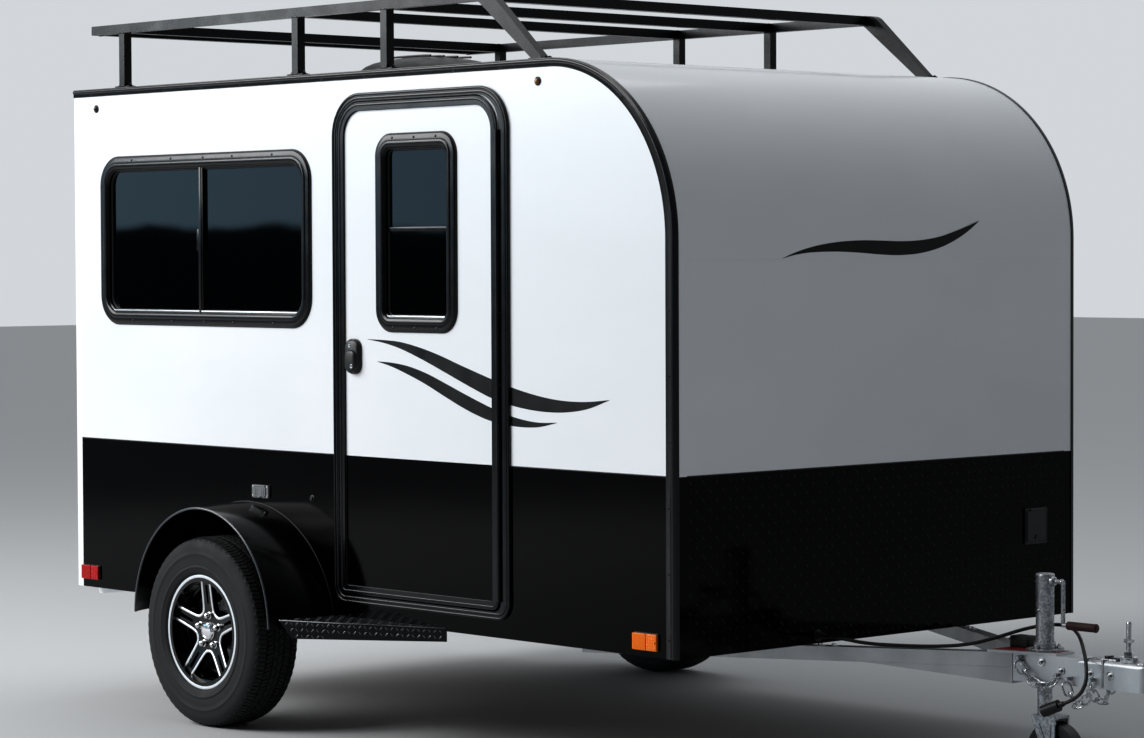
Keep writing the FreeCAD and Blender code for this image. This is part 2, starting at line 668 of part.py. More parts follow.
def make_ramp_hinge():
    """The ramp's full-width hinge: knuckles on the sill, and the ramp's leaf with its own between them."""
    height = s.wall_bottom + s.rear_sill_height - s.ramp_barrel_radius
    span = ramp_half_width * 2
    start = (-s.ramp_axis_reach, -ramp_half_width, height)
    fixed, turning = [], []
    radius = s.ramp_barrel_radius
    for corner, barrel, pitch in knuckles("sill_knuckle", s.ramp_knuckles, radius, start, span, "y", False):
        leaf = block(f"{barrel.Name}_leaf", (-s.ramp_axis_reach, corner[1], height - radius),
                     (zero, corner[1] + pitch - s.seat_gap, height))
        fixed.append(join(f"{barrel.Name}_join", barrel, leaf))
    keep(group("ramp_hinge", *fixed), "ramp_hinge")
    for corner, barrel, pitch in knuckles("ramp_knuckle", s.ramp_knuckles, radius, start, span, "y", True):
        turning.append(barrel)
        turning.append(block(f"{barrel.Name}_web", (-s.ramp_axis_reach, corner[1], height),
                             (-s.ramp_axis_reach + s.ramp_leaf_thickness, corner[1] + pitch - s.seat_gap,
                              ramp_bottom)))
        turning.append(block(f"{barrel.Name}_shelf", (-s.ramp_axis_reach, corner[1], ramp_bottom),
                             (zero, corner[1] + pitch - s.seat_gap, ramp_bottom + s.ramp_leaf_thickness)))
    turning.append(block("ramp_leaf", (-s.ramp_leaf_thickness, -ramp_half_width, ramp_bottom),
                         (zero, ramp_half_width, ramp_bottom + s.ramp_leaf_height)))
    keep(join("ramp_leaf_join", *turning), "ramp_hinge_leaf")


# Entry door

def door_outline(inset=zero):
    return rectangle(door_rear + inset, door_bottom + inset, door_front - inset, door_top - inset)


def make_door_slab():
    """The door's upper and lower panels, which meet at the waist."""
    low, high = side_span(RIGHT, inner_half, half_width)
    upper = Piece("door_upper")
    upper.pad("XZ_Plane", low, high, rectangle(door_rear, s.waist_height, door_front, door_top))
    upper.round(s.door_radius, "XZ_Plane", [(door_rear, door_top), (door_front, door_top)])
    hole = door_window_corners(s.window_lap)
    upper.pocket("XZ_Plane", low - s.overrun, high + s.overrun, hole)
    upper.round(s.door_window_radius - s.window_lap, "XZ_Plane", hole)
    keep(upper.body, "door_upper")
    lower = Piece("door_lower")
    lower.pad("XZ_Plane", low, high, rectangle(door_rear, door_bottom, door_front, s.waist_height))
    lower.round(s.door_foot_radius, "XZ_Plane",
                [(door_rear, door_bottom), (door_front, door_bottom)])
    keep(lower.body, "door_lower")


def make_ring(name, outline, inner, low, high, outer_top, outer_foot, inner_top, inner_foot):
    """A flat ring in the side plane, with rounded corners."""
    ring = Piece(name)
    ring.pad("XZ_Plane", low, high, outline, inner)
    ring.round(outer_top, "XZ_Plane", outline[2:])
    ring.round(outer_foot, "XZ_Plane", outline[:2])
    ring.round(inner_top, "XZ_Plane", inner[2:])
    ring.round(inner_foot, "XZ_Plane", inner[:2])
    return ring


def make_door_trims():
    """The black band on the wall round the door, and the one on the door's own edge."""
    wide, narrow = s.surround_front_width, s.surround_rear_width
    gap = s.door_gap
    front_edge = hinge_x + s.hinge_web
    outer = rectangle(door_rear - gap - narrow, door_bottom - gap - narrow,
                      front_edge + wide, door_top + gap + narrow)
    inner = rectangle(door_rear - gap, door_bottom - gap, front_edge, door_top + gap)
    low, high = side_span(RIGHT, half_width, half_width + s.surround_proud)
    surround = make_ring("door_surround", outer, inner, low, high, s.door_radius + gap + narrow,
                         s.door_foot_radius + gap + narrow, s.door_radius + gap, s.door_foot_radius + gap)
    keep(surround.body, "door_surround")
    band = s.door_trim_width
    low, high = side_span(RIGHT, half_width, half_width + s.door_trim_proud)
    trim = make_ring("door_trim", door_outline(), door_outline(band), low, high, s.door_radius,
                     s.door_foot_radius, s.door_radius - band, s.door_foot_radius / 2)
    keep(trim.body, "door_trim")


def make_door_hinge():
    """The full-height hinge: knuckles on the wall, and the door's leaf with its own between them."""
    span_low = door_bottom + s.door_foot_radius
    span = door_top - s.door_radius - span_low
    start = (hinge_x, -hinge_side, span_low)
    radius = s.hinge_barrel_radius
    fixed, turning = [], []
    for corner, barrel, pitch in knuckles("wall_knuckle", s.hinge_knuckles, radius, start, span, "z", False):
        web = block(f"{barrel.Name}_web", (hinge_x, -hinge_side, corner[2]),
                    (hinge_x + s.hinge_web, -half_width, corner[2] + pitch - s.seat_gap))
        fixed.append(join(f"{barrel.Name}_join", barrel, web))
    keep(group("door_hinge", *fixed), "door_hinge")
    face = -half_width - s.door_trim_proud
    outside = face - s.hinge_leaf_thickness
    for corner, barrel, pitch in knuckles("door_knuckle", s.hinge_knuckles, radius, start, span, "z", True):
        turning.append(barrel)
        turning.append(block(f"{barrel.Name}_tab", (door_front, outside, corner[2]),
                             (hinge_x, face, corner[2] + pitch - s.seat_gap)))
    turning.append(block("door_leaf", (door_front - s.hinge_leaf_width, outside, span_low),
                         (door_front, face, span_low + span)))
    keep(join("door_leaf_join", *turning), "door_hinge_leaf")


def make_door_handle():
    """The flush latch: a rounded base and a paddle."""
    handle = Piece("door_handle")
    rear, bottom = door_rear + s.handle_margin, s.waist_height + s.handle_lift
    front, top = rear + s.handle_width, bottom + s.handle_height
    base = rectangle(rear, bottom, front, top)
    low, high = side_span(RIGHT, half_width, half_width + s.handle_proud)
    handle.pad("XZ_Plane", low, high, base)
    handle.round(s.handle_radius, "XZ_Plane", base)
    inset = s.paddle_inset
    paddle = rectangle(rear + inset, bottom + inset, front - inset, top - inset * 2)
    low, high = side_span(RIGHT, half_width + s.handle_proud, half_width + s.handle_proud + s.paddle_proud)
    handle.pad("XZ_Plane", low, high, paddle)
    handle.round(s.handle_radius / 2, "XZ_Plane", paddle)
    keep(handle.body, "door_handle")


# Windows

def make_window(name, corners, radius, side, mullion=None):
    """A framed window: a flange on the wall's face and a sleeve through the wall."""
    hole, sight = corners(s.window_lap + s.seat_gap), corners(s.window_flange)
    frame = Piece(name)
    low, high = side_span(side, half_width, half_width + s.window_proud)
    frame.pad("XZ_Plane", low, high, corners(), sight)
    frame.round(radius, "XZ_Plane", corners())
    sleeve_low, sleeve_high = side_span(side, inner_half, half_width)
    frame.pad("XZ_Plane", sleeve_low, sleeve_high, hole, sight)
    frame.round(radius - s.window_lap - s.seat_gap, "XZ_Plane", hole)
    frame.round(radius - s.window_lap - s.window_lap, "XZ_Plane", sight)
    if mullion is not None:
        half = s.mullion_width / 2
        low, high = side_span(side, inner_half, half_width + s.window_proud / 2)
        frame.pad("XZ_Plane", low, high, rectangle(mullion - half, sight[0][1], mullion + half, sight[2][1]))
    return frame


def make_pane(name, rear, bottom, front, top, side):
    """One pane of dark glass between the frame's inner faces."""
    outer = half_width - s.glass_depth
    low, high = side_span(side, outer - s.glass_thickness, outer)
    pane = Piece(name)
    corners = rectangle(rear, bottom, front, top)
    pane.pad("XZ_Plane", low, high, corners)
    return pane


def make_side_windows():
    """The sliding window on each side and its two panes."""
    frame = make_window("window_frame", window_corners, s.window_radius, LEFT, mullion_station)
    keep(both_sides("window_frames", frame.body), "window_frames")
    rear, bottom = window_rear + s.window_flange + s.seat_gap, window_bottom + s.window_flange + s.seat_gap
    front, top = window_front - s.window_flange - s.seat_gap, window_top - s.window_flange - s.seat_gap
    half = s.mullion_width / 2 + s.seat_gap
    corner = s.window_radius - s.window_lap - s.window_lap
    panes = []
    spans = (("rear", rear, mullion_station - half), ("front", mullion_station + half, front))
    for word, start, end in spans:
        pane = make_pane(f"pane_{word}", start, bottom, end, top, LEFT)
        outside = start if word == "rear" else end
        pane.round(corner, "XZ_Plane", [(outside, bottom), (outside, top)])
        panes += [pane.body, mirrored(f"pane_{word}_mirror", pane.body)]
    keep(group("window_glass", *panes), "window_glass")


def make_door_window():
    """The door's fixed window and its pane."""
    frame = make_window("door_window_frame", door_window_corners, s.door_window_radius, RIGHT)
    keep(frame.body, "door_window_frame")
    corners = door_window_corners(s.window_flange + s.seat_gap)
    pane = make_pane("door_glass", *corners[0], *corners[2], RIGHT)
    pane.round(s.door_window_radius - s.window_lap - s.window_lap, "XZ_Plane", corners)
    keep(pane.body, "door_glass")


# Roof vent and rack

def make_vent():
    """The vent's frame in the roof, and its domed lid."""
    inner = s.vent_opening / 2
    base = Piece("vent_base")
    outer = inner + s.vent_wall
    wide = outer + s.vent_flange
    place = s.vent_station
    opening = rectangle(place - inner, -inner, place + inner, inner)
    base.pad("XY_Plane", roof_inner, s.roof_top + s.vent_base_height,
             rectangle(place - outer, -outer, place + outer, outer), opening)
    flange_top = s.roof_top + s.vent_flange_thickness
    base.pad("XY_Plane", s.roof_top, flange_top, rectangle(place - wide, -wide, place + wide, wide), opening)
    low, high = -s.vent_barrel_length / 2, s.vent_barrel_length / 2
    barrel = s.vent_barrel_radius
    base.pad("XZ_Plane", low, high,
             rectangle(vent_hinge_x - barrel, flange_top, vent_hinge_x + barrel, vent_skirt))
    base.pad("XZ_Plane", low, high, ("circle", vent_hinge_x, vent_skirt, barrel))
    keep(base.body, "vent_base")

    half = s.vent_lid_size / 2
    crown = vent_skirt + s.vent_base_height / 2 + s.vent_lid_height
    lid = Piece("vent_lid")
    low = rectangle(place - half, -half, place + half, half)
    lid.pad("XY_Plane", vent_skirt, crown, low)
    lid.round(s.vent_lid_radius, "XY_Plane", low)
    lid.round_rim(s.vent_lid_radius - s.vent_lid_wall, crown)
    hollow = half - s.vent_lid_wall
    lid.pocket("XY_Plane", vent_skirt - s.overrun, crown - s.vent_lid_radius,
               rectangle(place - hollow, -hollow, place + hollow, hollow))
    hollow = hollow - s.vent_lid_radius
    lid.pocket("XY_Plane", vent_skirt - s.overrun, crown - s.vent_lid_wall,
               rectangle(place - hollow, -hollow, place + hollow, hollow))
    keep(lid.body, "vent_lid")


def make_rack():
    """The roof rack: a side frame of square tube on each side and cross bars between them."""
    tube, half = s.rack_tube, s.rack_tube / 2
    side = half_width - s.rack_side_inset
    foot = s.roof_top + s.trim_thickness
    rack_top = s.roof_top + s.rack_height
    under = rack_top - tube
    rear = s.rack_rear_setback
    toe = nose_centre - s.rack_foot_setback
    bend = toe - s.rack_bend_length
    run, rise = toe - bend, rack_top - foot
    length = math.hypot(run.value, rise.value)
    tube_along = tube * (length / rise.value)
    rail = Piece("rack_rail")
    lean_top = bend + half
    outline = [
        (rear, under), (lean_top - tube_along, under), (toe - tube_along, foot),
        (toe, foot), (lean_top, rack_top), (rear, rack_top),
    ]
    rail.pad("XZ_Plane", side - half, side + half, outline)
    rail.round(s.rack_bend_radius, "XZ_Plane", [(lean_top, rack_top)])
    rail.round(s.rack_bend_radius - tube / 2, "XZ_Plane", [(lean_top - tube_along, under)])
    posts = [rear + (bend - rear) * share for share in POST_SHARES]
    plate = s.rack_foot_plate / 2
    for place in posts:
        rail.pad("XZ_Plane", side - half, side + half, rectangle(place - half, foot, place + half, under))
        rail.pad("XZ_Plane", side - half, side + half,
                 rectangle(place - plate, foot, place + plate, foot + s.rack_foot_thickness))
    keep(both_sides("rack_rails", rail.body), "rack_rails")
    bars = []
    for index, place in enumerate((rear + half, *posts, bend - tube)):
        bars.append(block(f"rack_bar_{index}", (place - half, -side + half, under),
                          (place + half, side - half, rack_top)))
    keep(group("rack_crossbars", *bars), "rack_crossbars")


# Chassis and axle

def make_chassis():
    """Two side rails, the cross members between them and the front member."""
    rails = []
    rear = s.rail_rear_setback
    for side, word in ((RIGHT, "right"), (LEFT, "left")):
        low, high = side_span(side, rail_half - s.rail_width, rail_half)
        rails.append(block(f"rail_{word}", (rear, low, s.wall_bottom), (front_member, high, rail_top)))
    keep(group("chassis_rails", *rails), "chassis_rails")
    inside = rail_half - s.rail_width
    members = [block("front_member", (front_member, -rail_half, s.wall_bottom),
                     (front_member + s.rail_width, rail_half, rail_top))]
    pitch = (front_member - rear) / s.cross_members
    for index in range(int(s.cross_members.value)):
        place = rear + pitch * index
        members.append(block(f"member_{index}", (place, -inside, s.wall_bottom),
                             (place + s.rail_width, inside, rail_top)))
    keep(group("chassis_crossmembers", *members), "chassis_crossmembers")


def make_axle():
    """The axle tube under the rails and, at each end, the arm and spindle that carry a wheel."""
    tube_station = wheel_station + s.axle_lead
    half = s.axle_tube / 2
    tube = block("axle_tube", (tube_station - half, -axle_half_length, s.wall_bottom - s.axle_tube),
                 (tube_station + half, axle_half_length, s.wall_bottom))
    keep(group("axle_group", tube), "axle_beam")
    inner = axle_half_length + s.arm_gap
    outer = inner + s.arm_thickness
    height = s.tyre_radius
    tube_height = s.wall_bottom - half
    run, rise = tube_station - wheel_station, height - tube_height
    length = math.hypot(run.value, rise.value)
    across_x, across_z = rise.value / length, run.value / length
    arm = Piece("arm")
    reach = s.arm_boss_radius
    outline = [
        (wheel_station - reach * across_x, height - reach * across_z),
        (tube_station - reach * across_x, tube_height - reach * across_z),
        (tube_station + reach * across_x, tube_height + reach * across_z),
        (wheel_station + reach * across_x, height + reach * across_z),
    ]
    arm.pad("XZ_Plane", inner, outer, outline)
    arm.pad("XZ_Plane", inner, outer, ("circle", wheel_station, height, reach))
    arm.pad("XZ_Plane", inner, outer, ("circle", tube_station, tube_height, reach))
    arm.pad("XZ_Plane", inner - s.arm_gap, inner, ("circle", tube_station, tube_height, half - s.arm_gap))
    arm.pad("XZ_Plane", outer, wheel_side - s.spindle_end_gap,
            ("circle", wheel_station, height, s.spindle_radius))
    keep(both_sides("torsion_arms", arm.body), "torsion_arms")


# Wheels

def make_wheel(word, side):
    """A tyre, its alloy rim and the hub, all about the wheel's own axis, outer face towards +Y."""
    half, tread = s.tyre_width / 2, s.tread_width / 2
    rim_half = s.rim_width / 2
    tyre = Piece(f"tyre_{word}")
    bead = s.rim_flange_radius + s.seat_gap
    high = s.tyre_radius - s.shoulder_height
    tyre.revolve([(-half, bead), (-half, high), (-tread, s.tyre_radius),
                  (tread, s.tyre_radius), (half, high), (half, bead)])

    rim = Piece(f"rim_{word}")
    lip, thick = s.rim_flange_radius, s.rim_thickness
    seat, well = s.bead_radius, s.bead_radius - s.rim_well_depth
    inner_seat, inner_well = seat - thick, well - thick
    rear, front, slope = s.rim_well_rear, s.rim_well_front, s.rim_well_slope
    rim.revolve([
        (-rim_half, lip), (-rim_half, inner_seat), (rear - slope, inner_seat), (rear, inner_well),
        (front, inner_well), (front + slope, inner_seat), (rim_half, inner_seat), (rim_half, lip),
        (rim_half - thick, lip), (rim_half - thick, seat), (front + slope, seat), (front, well),
        (rear, well), (rear - slope, seat), (-rim_half + thick, seat), (-rim_half + thick, lip),
    ])
    face, deep = s.disc_outer_face, s.disc_thickness
    rim.revolve([
        (face - deep, seat - thick / 2), (face, seat - thick / 2), (face - s.disc_dish, s.rim_hub_radius),
        (face - s.disc_dish, zero), (zero, zero), (zero, s.rim_hub_radius),
        (face - s.disc_dish - deep, s.rim_hub_radius),
    ])
    low, high = front, face + s.overrun
    make_rim_windows(rim, low, high)

    hub = Piece(f"drum_{word}")
    backing = s.wheel_offset - s.moving_gap - s.arm_gap
    bore = s.spindle_radius + s.hub_clearance
    hub.revolve([
        (-backing, bore + s.drum_step), (-backing, s.drum_radius), (-backing + s.drum_width, s.drum_radius),
        (-backing + s.drum_width, s.rim_hub_radius), (zero, s.rim_hub_radius), (zero, bore), (-backing, bore),
    ])
    cap_seat = s.disc_outer_face - s.disc_dish
    hub_cap = Piece(f"cap_{word}")
    hub_cap.revolve([(cap_seat, zero), (cap_seat, s.cap_radius), (cap_seat + s.cap_height / 2, s.cap_radius),
                     (cap_seat + s.cap_height, s.cap_radius / 2), (cap_seat + s.cap_height, zero)])

    turn = FreeCAD.Rotation(FreeCAD.Vector(0, 0, 1), 0 if side == LEFT else 180)
    hub_node = group(f"drum_and_cap_{word}", hub.body, hub_cap.body)
    for thing, label in ((tyre.body, f"tyre_{word}"), (rim.body, f"rim_{word}"), (hub_node, f"hub_{word}")):
        thing.Placement = FreeCAD.Placement(FreeCAD.Vector(), turn)
        keep(thing, label, wheel_station, wheel_side * side, s.tyre_radius)


def make_rim_windows(rim, low, high):
    """Five wide windows between the twin spokes, and a narrow slot inside each pair."""
    reach = s.window_outer_radius
    for shares, turn in ((WINDOW_SHARES, as_size(math.pi / s.spoke_count.value)), (SLOT_SHARES, zero)):
        cosine, sine = math.cos(turn.value), math.sin(turn.value)
        corners = []
        for across_share, out_share in shares:
            u_share = across_share * cosine + out_share * sine
            v_share = out_share * cosine - across_share * sine
            corners.append((reach * u_share, reach * v_share))
        window = rim.pocket("XZ_Plane", low, high, corners)
        rim.repeat(window, window.Profile[0], s.spoke_count)


# Fenders and step

def make_fenders():
    """A half-round fender over each wheel: its skin, its rolled lip and the plate against the wall."""
    inner, outer = half_width.value, (half_width + s.fender_width).value
    centre = FreeCAD.Vector(wheel_station.value, inner, s.tyre_radius.value)
    skin, lip, past = s.fender_skin.value, s.fender_lip.value, s.overrun.value

    def shell(grow, width, start):
        """A half of an elliptical drum."""
        reach, rise = s.fender_half_length.value + grow, s.fender_rise.value + grow
        at = FreeCAD.Vector(centre.x, start, centre.z)
        curve = Part.Ellipse(at + FreeCAD.Vector(reach, 0, 0), at + FreeCAD.Vector(0, 0, rise), at)
        face = Part.Face(Part.Wire([curve.toShape()]))
        return face.extrude(FreeCAD.Vector(0, width, 0))

    width = outer - inner
    drum = shell(0, width, inner).cut(shell(-skin, width, inner + skin))
    drum = drum.cut(shell(-s.fender_plate_width.value, skin + past * 2, inner - past))
    rim = shell(skin, lip, outer - lip).cut(shell(-skin, lip + past * 2, outer - lip - past))
    whole = drum.fuse(rim)
    span = (fender_reach + s.overrun).value
    foot = s.wall_bottom.value - s.fender_foot_drop.value
    below = Part.makeBox(span * 2, width + past * 2, span,
                         FreeCAD.Vector(centre.x - span, inner - past, foot - span))
    fender = document.addObject("Part::Feature", "fender")
    fender.Shape = whole.cut(below).removeSplitter()
    keep(both_sides("fenders", fender), "fenders")


def make_step():
    """The entry step ahead of the right wheel: a plate with a skirt along its outer edge."""
    step = Piece("entry_step")
    inner, outer = -half_width, -half_width - s.step_reach
    rear = wheel_station + s.fender_half_length + s.step_gap
    front = rear + s.step_length
    top = s.wall_bottom + s.step_lift
    step.pad("XY_Plane", top - s.step_skin, top, [(rear, inner), (rear, outer), (front, inner)])
    run, reach = s.step_length.value, s.step_reach.value
    length = math.hypot(run, reach)
    along = s.step_skin * (length / reach)
    down = s.step_skin * (length / run)
    skirt = [(rear, outer), (front, inner), (front - along, inner), (rear, outer + down)]
    low, past_front = top - s.step_skirt, front + s.overrun
    step.pad("XY_Plane", low, top, skirt)
    step.pocket("XZ_Plane", outer - s.overrun, zero, [
        (rear, low), (rear, low - s.overrun), (past_front, low - s.overrun),
        (past_front, top - s.step_skirt_tip)])
    keep(step.body, "entry_step")


# Tongue, coupler and jack

def make_tongue():
    """The two beams of the A-frame, shallower towards the body, and the coupler that they run into."""
    tongue_rear = s.body_length - s.tongue_tail
    rear_half = half_width - s.tongue_rear_inset
    run = (tongue_front - tongue_rear).value
    reach = (rear_half - s.tongue_front_half).value
    wide = s.beam_width * (math.hypot(run, reach) / run)
    beam = Piece("tongue_beam")
    beam.pad("XY_Plane", beam_bottom, s.wall_bottom, [
        (tongue_rear, rear_half - wide), (tongue_front, s.tongue_front_half - wide),
        (tongue_front, s.tongue_front_half), (tongue_rear, rear_half)])
    tail, below = s.wall_bottom - s.beam_tail_height, beam_bottom - s.overrun
    past_rear = tongue_rear - s.overrun
    beam.pocket("XZ_Plane", zero, rear_half + s.overrun, [
        (past_rear, below), (tongue_front, below), (tongue_front, beam_bottom),
        (tongue_front - s.beam_taper_length, tail), (past_rear, tail)])
    keep(both_sides("tongue_beams", beam.body), "tongue_beams")

    coupler = Piece("coupler")
    narrow, wide_end = s.coupler_half_width, s.tongue_front_half
    nose = ball_station + narrow
    coupler.pad("XY_Plane", coupler_bottom, s.wall_bottom, [
        (tongue_front, -wide_end), (coupler_neck, -narrow), (nose, -narrow), (nose, narrow),
        (coupler_neck, narrow), (tongue_front, wide_end)])
    coupler.round(s.coupler_nose_radius, "XY_Plane", [(nose, -narrow), (nose, narrow)])
    coupler.round_rim(s.coupler_edge_radius, s.wall_bottom, coupler_neck - s.overrun)
    coupler.pocket("XY_Plane", coupler_bottom - s.overrun, coupler_bottom + s.ball_depth,
                   ("circle", ball_station, zero, s.ball_radius))
    tube_hole = ("circle", jack_station, zero, s.jack_tube_radius + s.seat_gap)
    coupler.pocket("XY_Plane", coupler_bottom - s.overrun, s.wall_bottom + s.overrun, tube_hole)
    keep(coupler.body, "coupler")

    plate = Piece("coupler_plate")
    top = s.wall_bottom + s.plate_thickness
    rear, front = tongue_front - s.plate_rear_length, tongue_front + s.plate_front_length
    plate.pad("XY_Plane", s.wall_bottom, top, [
        (rear, -s.plate_rear_half), (front, -s.plate_front_half), (front, s.plate_front_half),
        (rear, s.plate_rear_half)])
    plate.pocket("XY_Plane", s.wall_bottom - s.overrun, top + s.overrun, tube_hole)
    keep(plate.body, "coupler_plate")

    latch = Piece("coupler_latch")
    half = s.latch_base / 2
    place, base_top = ball_station - s.latch_setback, s.wall_bottom + s.latch_base_height
    latch.pad("XY_Plane", s.wall_bottom, base_top, rectangle(place - half, -half / 2, place + half, half / 2))
    latch.pad("XY_Plane", base_top, s.wall_bottom + s.latch_height, ("circle", place, zero, s.latch_radius))
    keep(latch.body, "coupler_latch")


def make_jack():
    """The nose jack: a fixed tube with its crank, the sliding leg, the swivel fork and the wheel."""
    place = jack_station
    tube_bottom = s.wall_bottom - s.jack_tube_drop
    height = jack_tube_top - tube_bottom
    outer = rod("jack_outer", s.jack_tube_radius, (place, zero, tube_bottom), height, "z")
    bore = rod("jack_bore", s.jack_tube_radius - s.jack_wall, (place, zero, tube_bottom - s.overrun),
               height + s.overrun - s.jack_wall, "z")
    keep(cut("jack_tube_cut", outer, bore), "jack_tube")

    start = place + s.jack_tube_radius + s.seat_gap
    shaft_end = place + s.crank_reach
    shaft_height = jack_tube_top - s.crank_inset
    grip_height = shaft_height - s.crank_fall
    shaft = rod("crank_shaft", s.crank_radius, (start, zero, shaft_height), shaft_end - start, "x")
    drop = rod("crank_arm", s.crank_radius, (shaft_end, zero, grip_height), s.crank_fall, "z")
    elbow = ball("crank_elbow", s.crank_radius, (shaft_end, zero, shaft_height))
    foot = ball("crank_foot", s.crank_radius, (shaft_end, zero, grip_height))
    stub = rod("crank_stub", s.crank_radius, (shaft_end, zero, grip_height), s.crank_stub, "x")
    keep(join("crank_join", shaft, elbow, drop, foot, stub), "jack_crank")
    grip = rod("grip_rod", s.crank_grip_radius, (shaft_end + s.crank_stub, zero, grip_height),
               s.crank_grip_length, "x")
    keep(group("grip_group", grip), "jack_grip")

    leg_radius = s.jack_tube_radius - s.jack_wall - s.slide_gap
    leg_top = jack_tube_top - s.jack_head_room
    leg = rod("leg_rod", leg_radius, (place, zero, jack_leg_bottom), leg_top - jack_leg_bottom, "z")
    keep(group("leg_group", leg), "jack_leg")

    wheel_place = place + s.caster_trail
    half_gap = s.caster_width / 2 + s.fork_gap
    outside = half_gap + s.fork_thickness
    crown_low = fork_top - s.fork_thickness
    half = s.fork_width / 2
    fork = Piece("jack_fork")
    fork.pad("XY_Plane", crown_low, fork_top, rectangle(place - half, -outside, wheel_place + half, outside))
    for side in (RIGHT, LEFT):
        low, high = side_span(side, half_gap, outside)
        fork.pad("XZ_Plane", low, high, [
            (wheel_place - half, s.caster_radius), (wheel_place + half, s.caster_radius),
            (wheel_place + half, crown_low), (place - half, crown_low)])
        fork.pad("XZ_Plane", low, high, ("circle", wheel_place, s.caster_radius, half))
    fork.pad("XZ_Plane", -half_gap, half_gap, ("circle", wheel_place, s.caster_radius, s.caster_pin_radius))
    keep(fork.body, "jack_fork")

    wheel = Piece("jack_wheel")
    half, inside = s.caster_width / 2, s.caster_pin_radius + s.hub_clearance
    web = half - s.caster_recess
    rim_inside = s.caster_radius - s.caster_rim_height
    wheel.revolve([(-half, inside), (-half, s.caster_hub_radius), (-web, s.caster_hub_radius),
                   (-web, rim_inside), (-half, rim_inside), (-half, s.caster_radius),
                   (half, s.caster_radius), (half, rim_inside), (web, rim_inside),
                   (web, s.caster_hub_radius), (half, s.caster_hub_radius), (half, inside)])
    keep(wheel.body, "jack_wheel", wheel_place, zero, s.caster_radius)


def link_outline(straight, radius):
    """A link's long outline with eight-sided ends, as a wire in the XY plane."""
    corner = radius * CORNER_SHARE
    ahead = [(straight + corner, radius), (straight + radius, corner),
             (straight + radius, -corner), (straight + corner, -radius)]
    points = ahead + [(-x, -y) for x, y in ahead]
    points.append(points[0])
    return Part.makePolygon([FreeCAD.Vector(x, y, 0) for x, y in points])


def make_link():
    """One flat link about its own middle, long along X."""
    wire, outer = s.chain_wire.value, s.chain_link_width.value / 2
    straight = s.chain_link_hole.value / 2 + wire - outer
    ring = Part.Face(link_outline(straight, outer)).cut(Part.Face(link_outline(straight, outer - wire)))
    link = ring.extrude(FreeCAD.Vector(0, 0, wire))
    link.translate(FreeCAD.Vector(0, 0, -wire / 2))
    return link


def coupler_side(station):
    """How far the coupler's side lies from the centre plane at a station."""
    taper = (s.tongue_front_half - s.coupler_half_width) / s.coupler_neck_length
    past_front = min(max(station - tongue_front.value, 0), s.coupler_neck_length.value)
    return s.tongue_front_half.value - past_front * taper.value


def place_link(link, curve, along, index):
    """The link at a length along the curve, rolled one way or the other by its number."""
    at = curve.parameterAtDistance(along, curve.FirstParameter)
    heading = FreeCAD.Rotation(FreeCAD.Vector(1, 0, 0), curve.tangent(at)[0])
    roll = FreeCAD.Rotation(FreeCAD.Vector(1, 0, 0), LINK_ROLL if index % 2 else -LINK_ROLL)
    placed = link.copy()
    placed.Placement = FreeCAD.Placement(curve.value(at), heading.multiply(roll))
    return placed


def hang_loop(link, start, end, sag):
    """Links along one hanging loop on the coupler's left side, and the two tabs that hold its ends."""
    curve = Part.BSplineCurve()
    points = []
    for along_share, down_share in SAG_SHARES:
        station = start[0] + (end[0] - start[0]) * along_share
        height = start[1] + (end[1] - start[1]) * along_share - sag * down_share
        points.append(FreeCAD.Vector(station, coupler_side(station) + s.chain_out.value, height))
    curve.interpolate(points)
    length, pitch = curve.length(), (s.chain_link_hole - s.chain_slack).value
    count = int(length / pitch)
    along = (length - pitch * (count - 1)) / 2
    tab, gap = s.chain_tab.value, s.seat_gap.value
    links, tabs = [], []
    for index in range(count):
        one = place_link(link, curve, along, index)
        if links:
            near, far = along + (s.chain_link_hole - s.chain_wire).value, along + s.chain_link_hole.value
            while far - near > gap * CLOSE_SHARE:
                along = (near + far) / 2
                one = place_link(link, curve, along, index)
                near, far = (along, far) if one.distToShape(links[-1])[0] > gap else (near, along)
            along = near
            one = place_link(link, curve, along, index)
        links.append(one)
        if index in (0, count - 1):
            peak = max(one.Vertexes, key=lambda corner: corner.Z)
            rear = peak.X - tab / 2
            inside = coupler_side(rear) + gap
            reach = peak.Y + tab / 2 - inside
            tabs.append(Part.makeBox(tab, reach, tab, FreeCAD.Vector(rear, inside, peak.Z + gap)))
    return links, tabs


def make_chains():
    """Two hanging loops of chain on each side of the coupler, and the tabs that hold their ends."""
    link = make_link()
    front, neck = tongue_front.value, coupler_neck.value
    rear_height = (s.wall_bottom - s.rear_loop_top).value
    front_height = (s.wall_bottom - s.front_loop_top).value
    loops = [
        ((front + s.rear_loop_start.value, rear_height),
         (front + s.rear_loop_end.value, rear_height - s.rear_loop_fall.value), s.rear_loop_sag.value),
        ((neck - s.front_loop_lead.value, front_height),
         (neck + s.front_loop_end.value, front_height), s.front_loop_sag.value),
    ]
    links, tabs = [], []
    for start, end, sag in loops:
        hung, held = hang_loop(link, start, end, sag)
        links += hung
        tabs += held
    middle, across = FreeCAD.Vector(), FreeCAD.Vector(0, 1, 0)
    chains = document.addObject("Part::Feature", "safety_chains")
    chains.Shape = Part.makeCompound(links + [link.mirror(middle, across) for link in links])
    keep(chains, "safety_chains")
    holders = document.addObject("Part::Feature", "chain_tabs")
    holders.Shape = Part.makeCompound(tabs + [tab.mirror(middle, across) for tab in tabs])
    keep(holders, "chain_tabs")


# Trailer cable

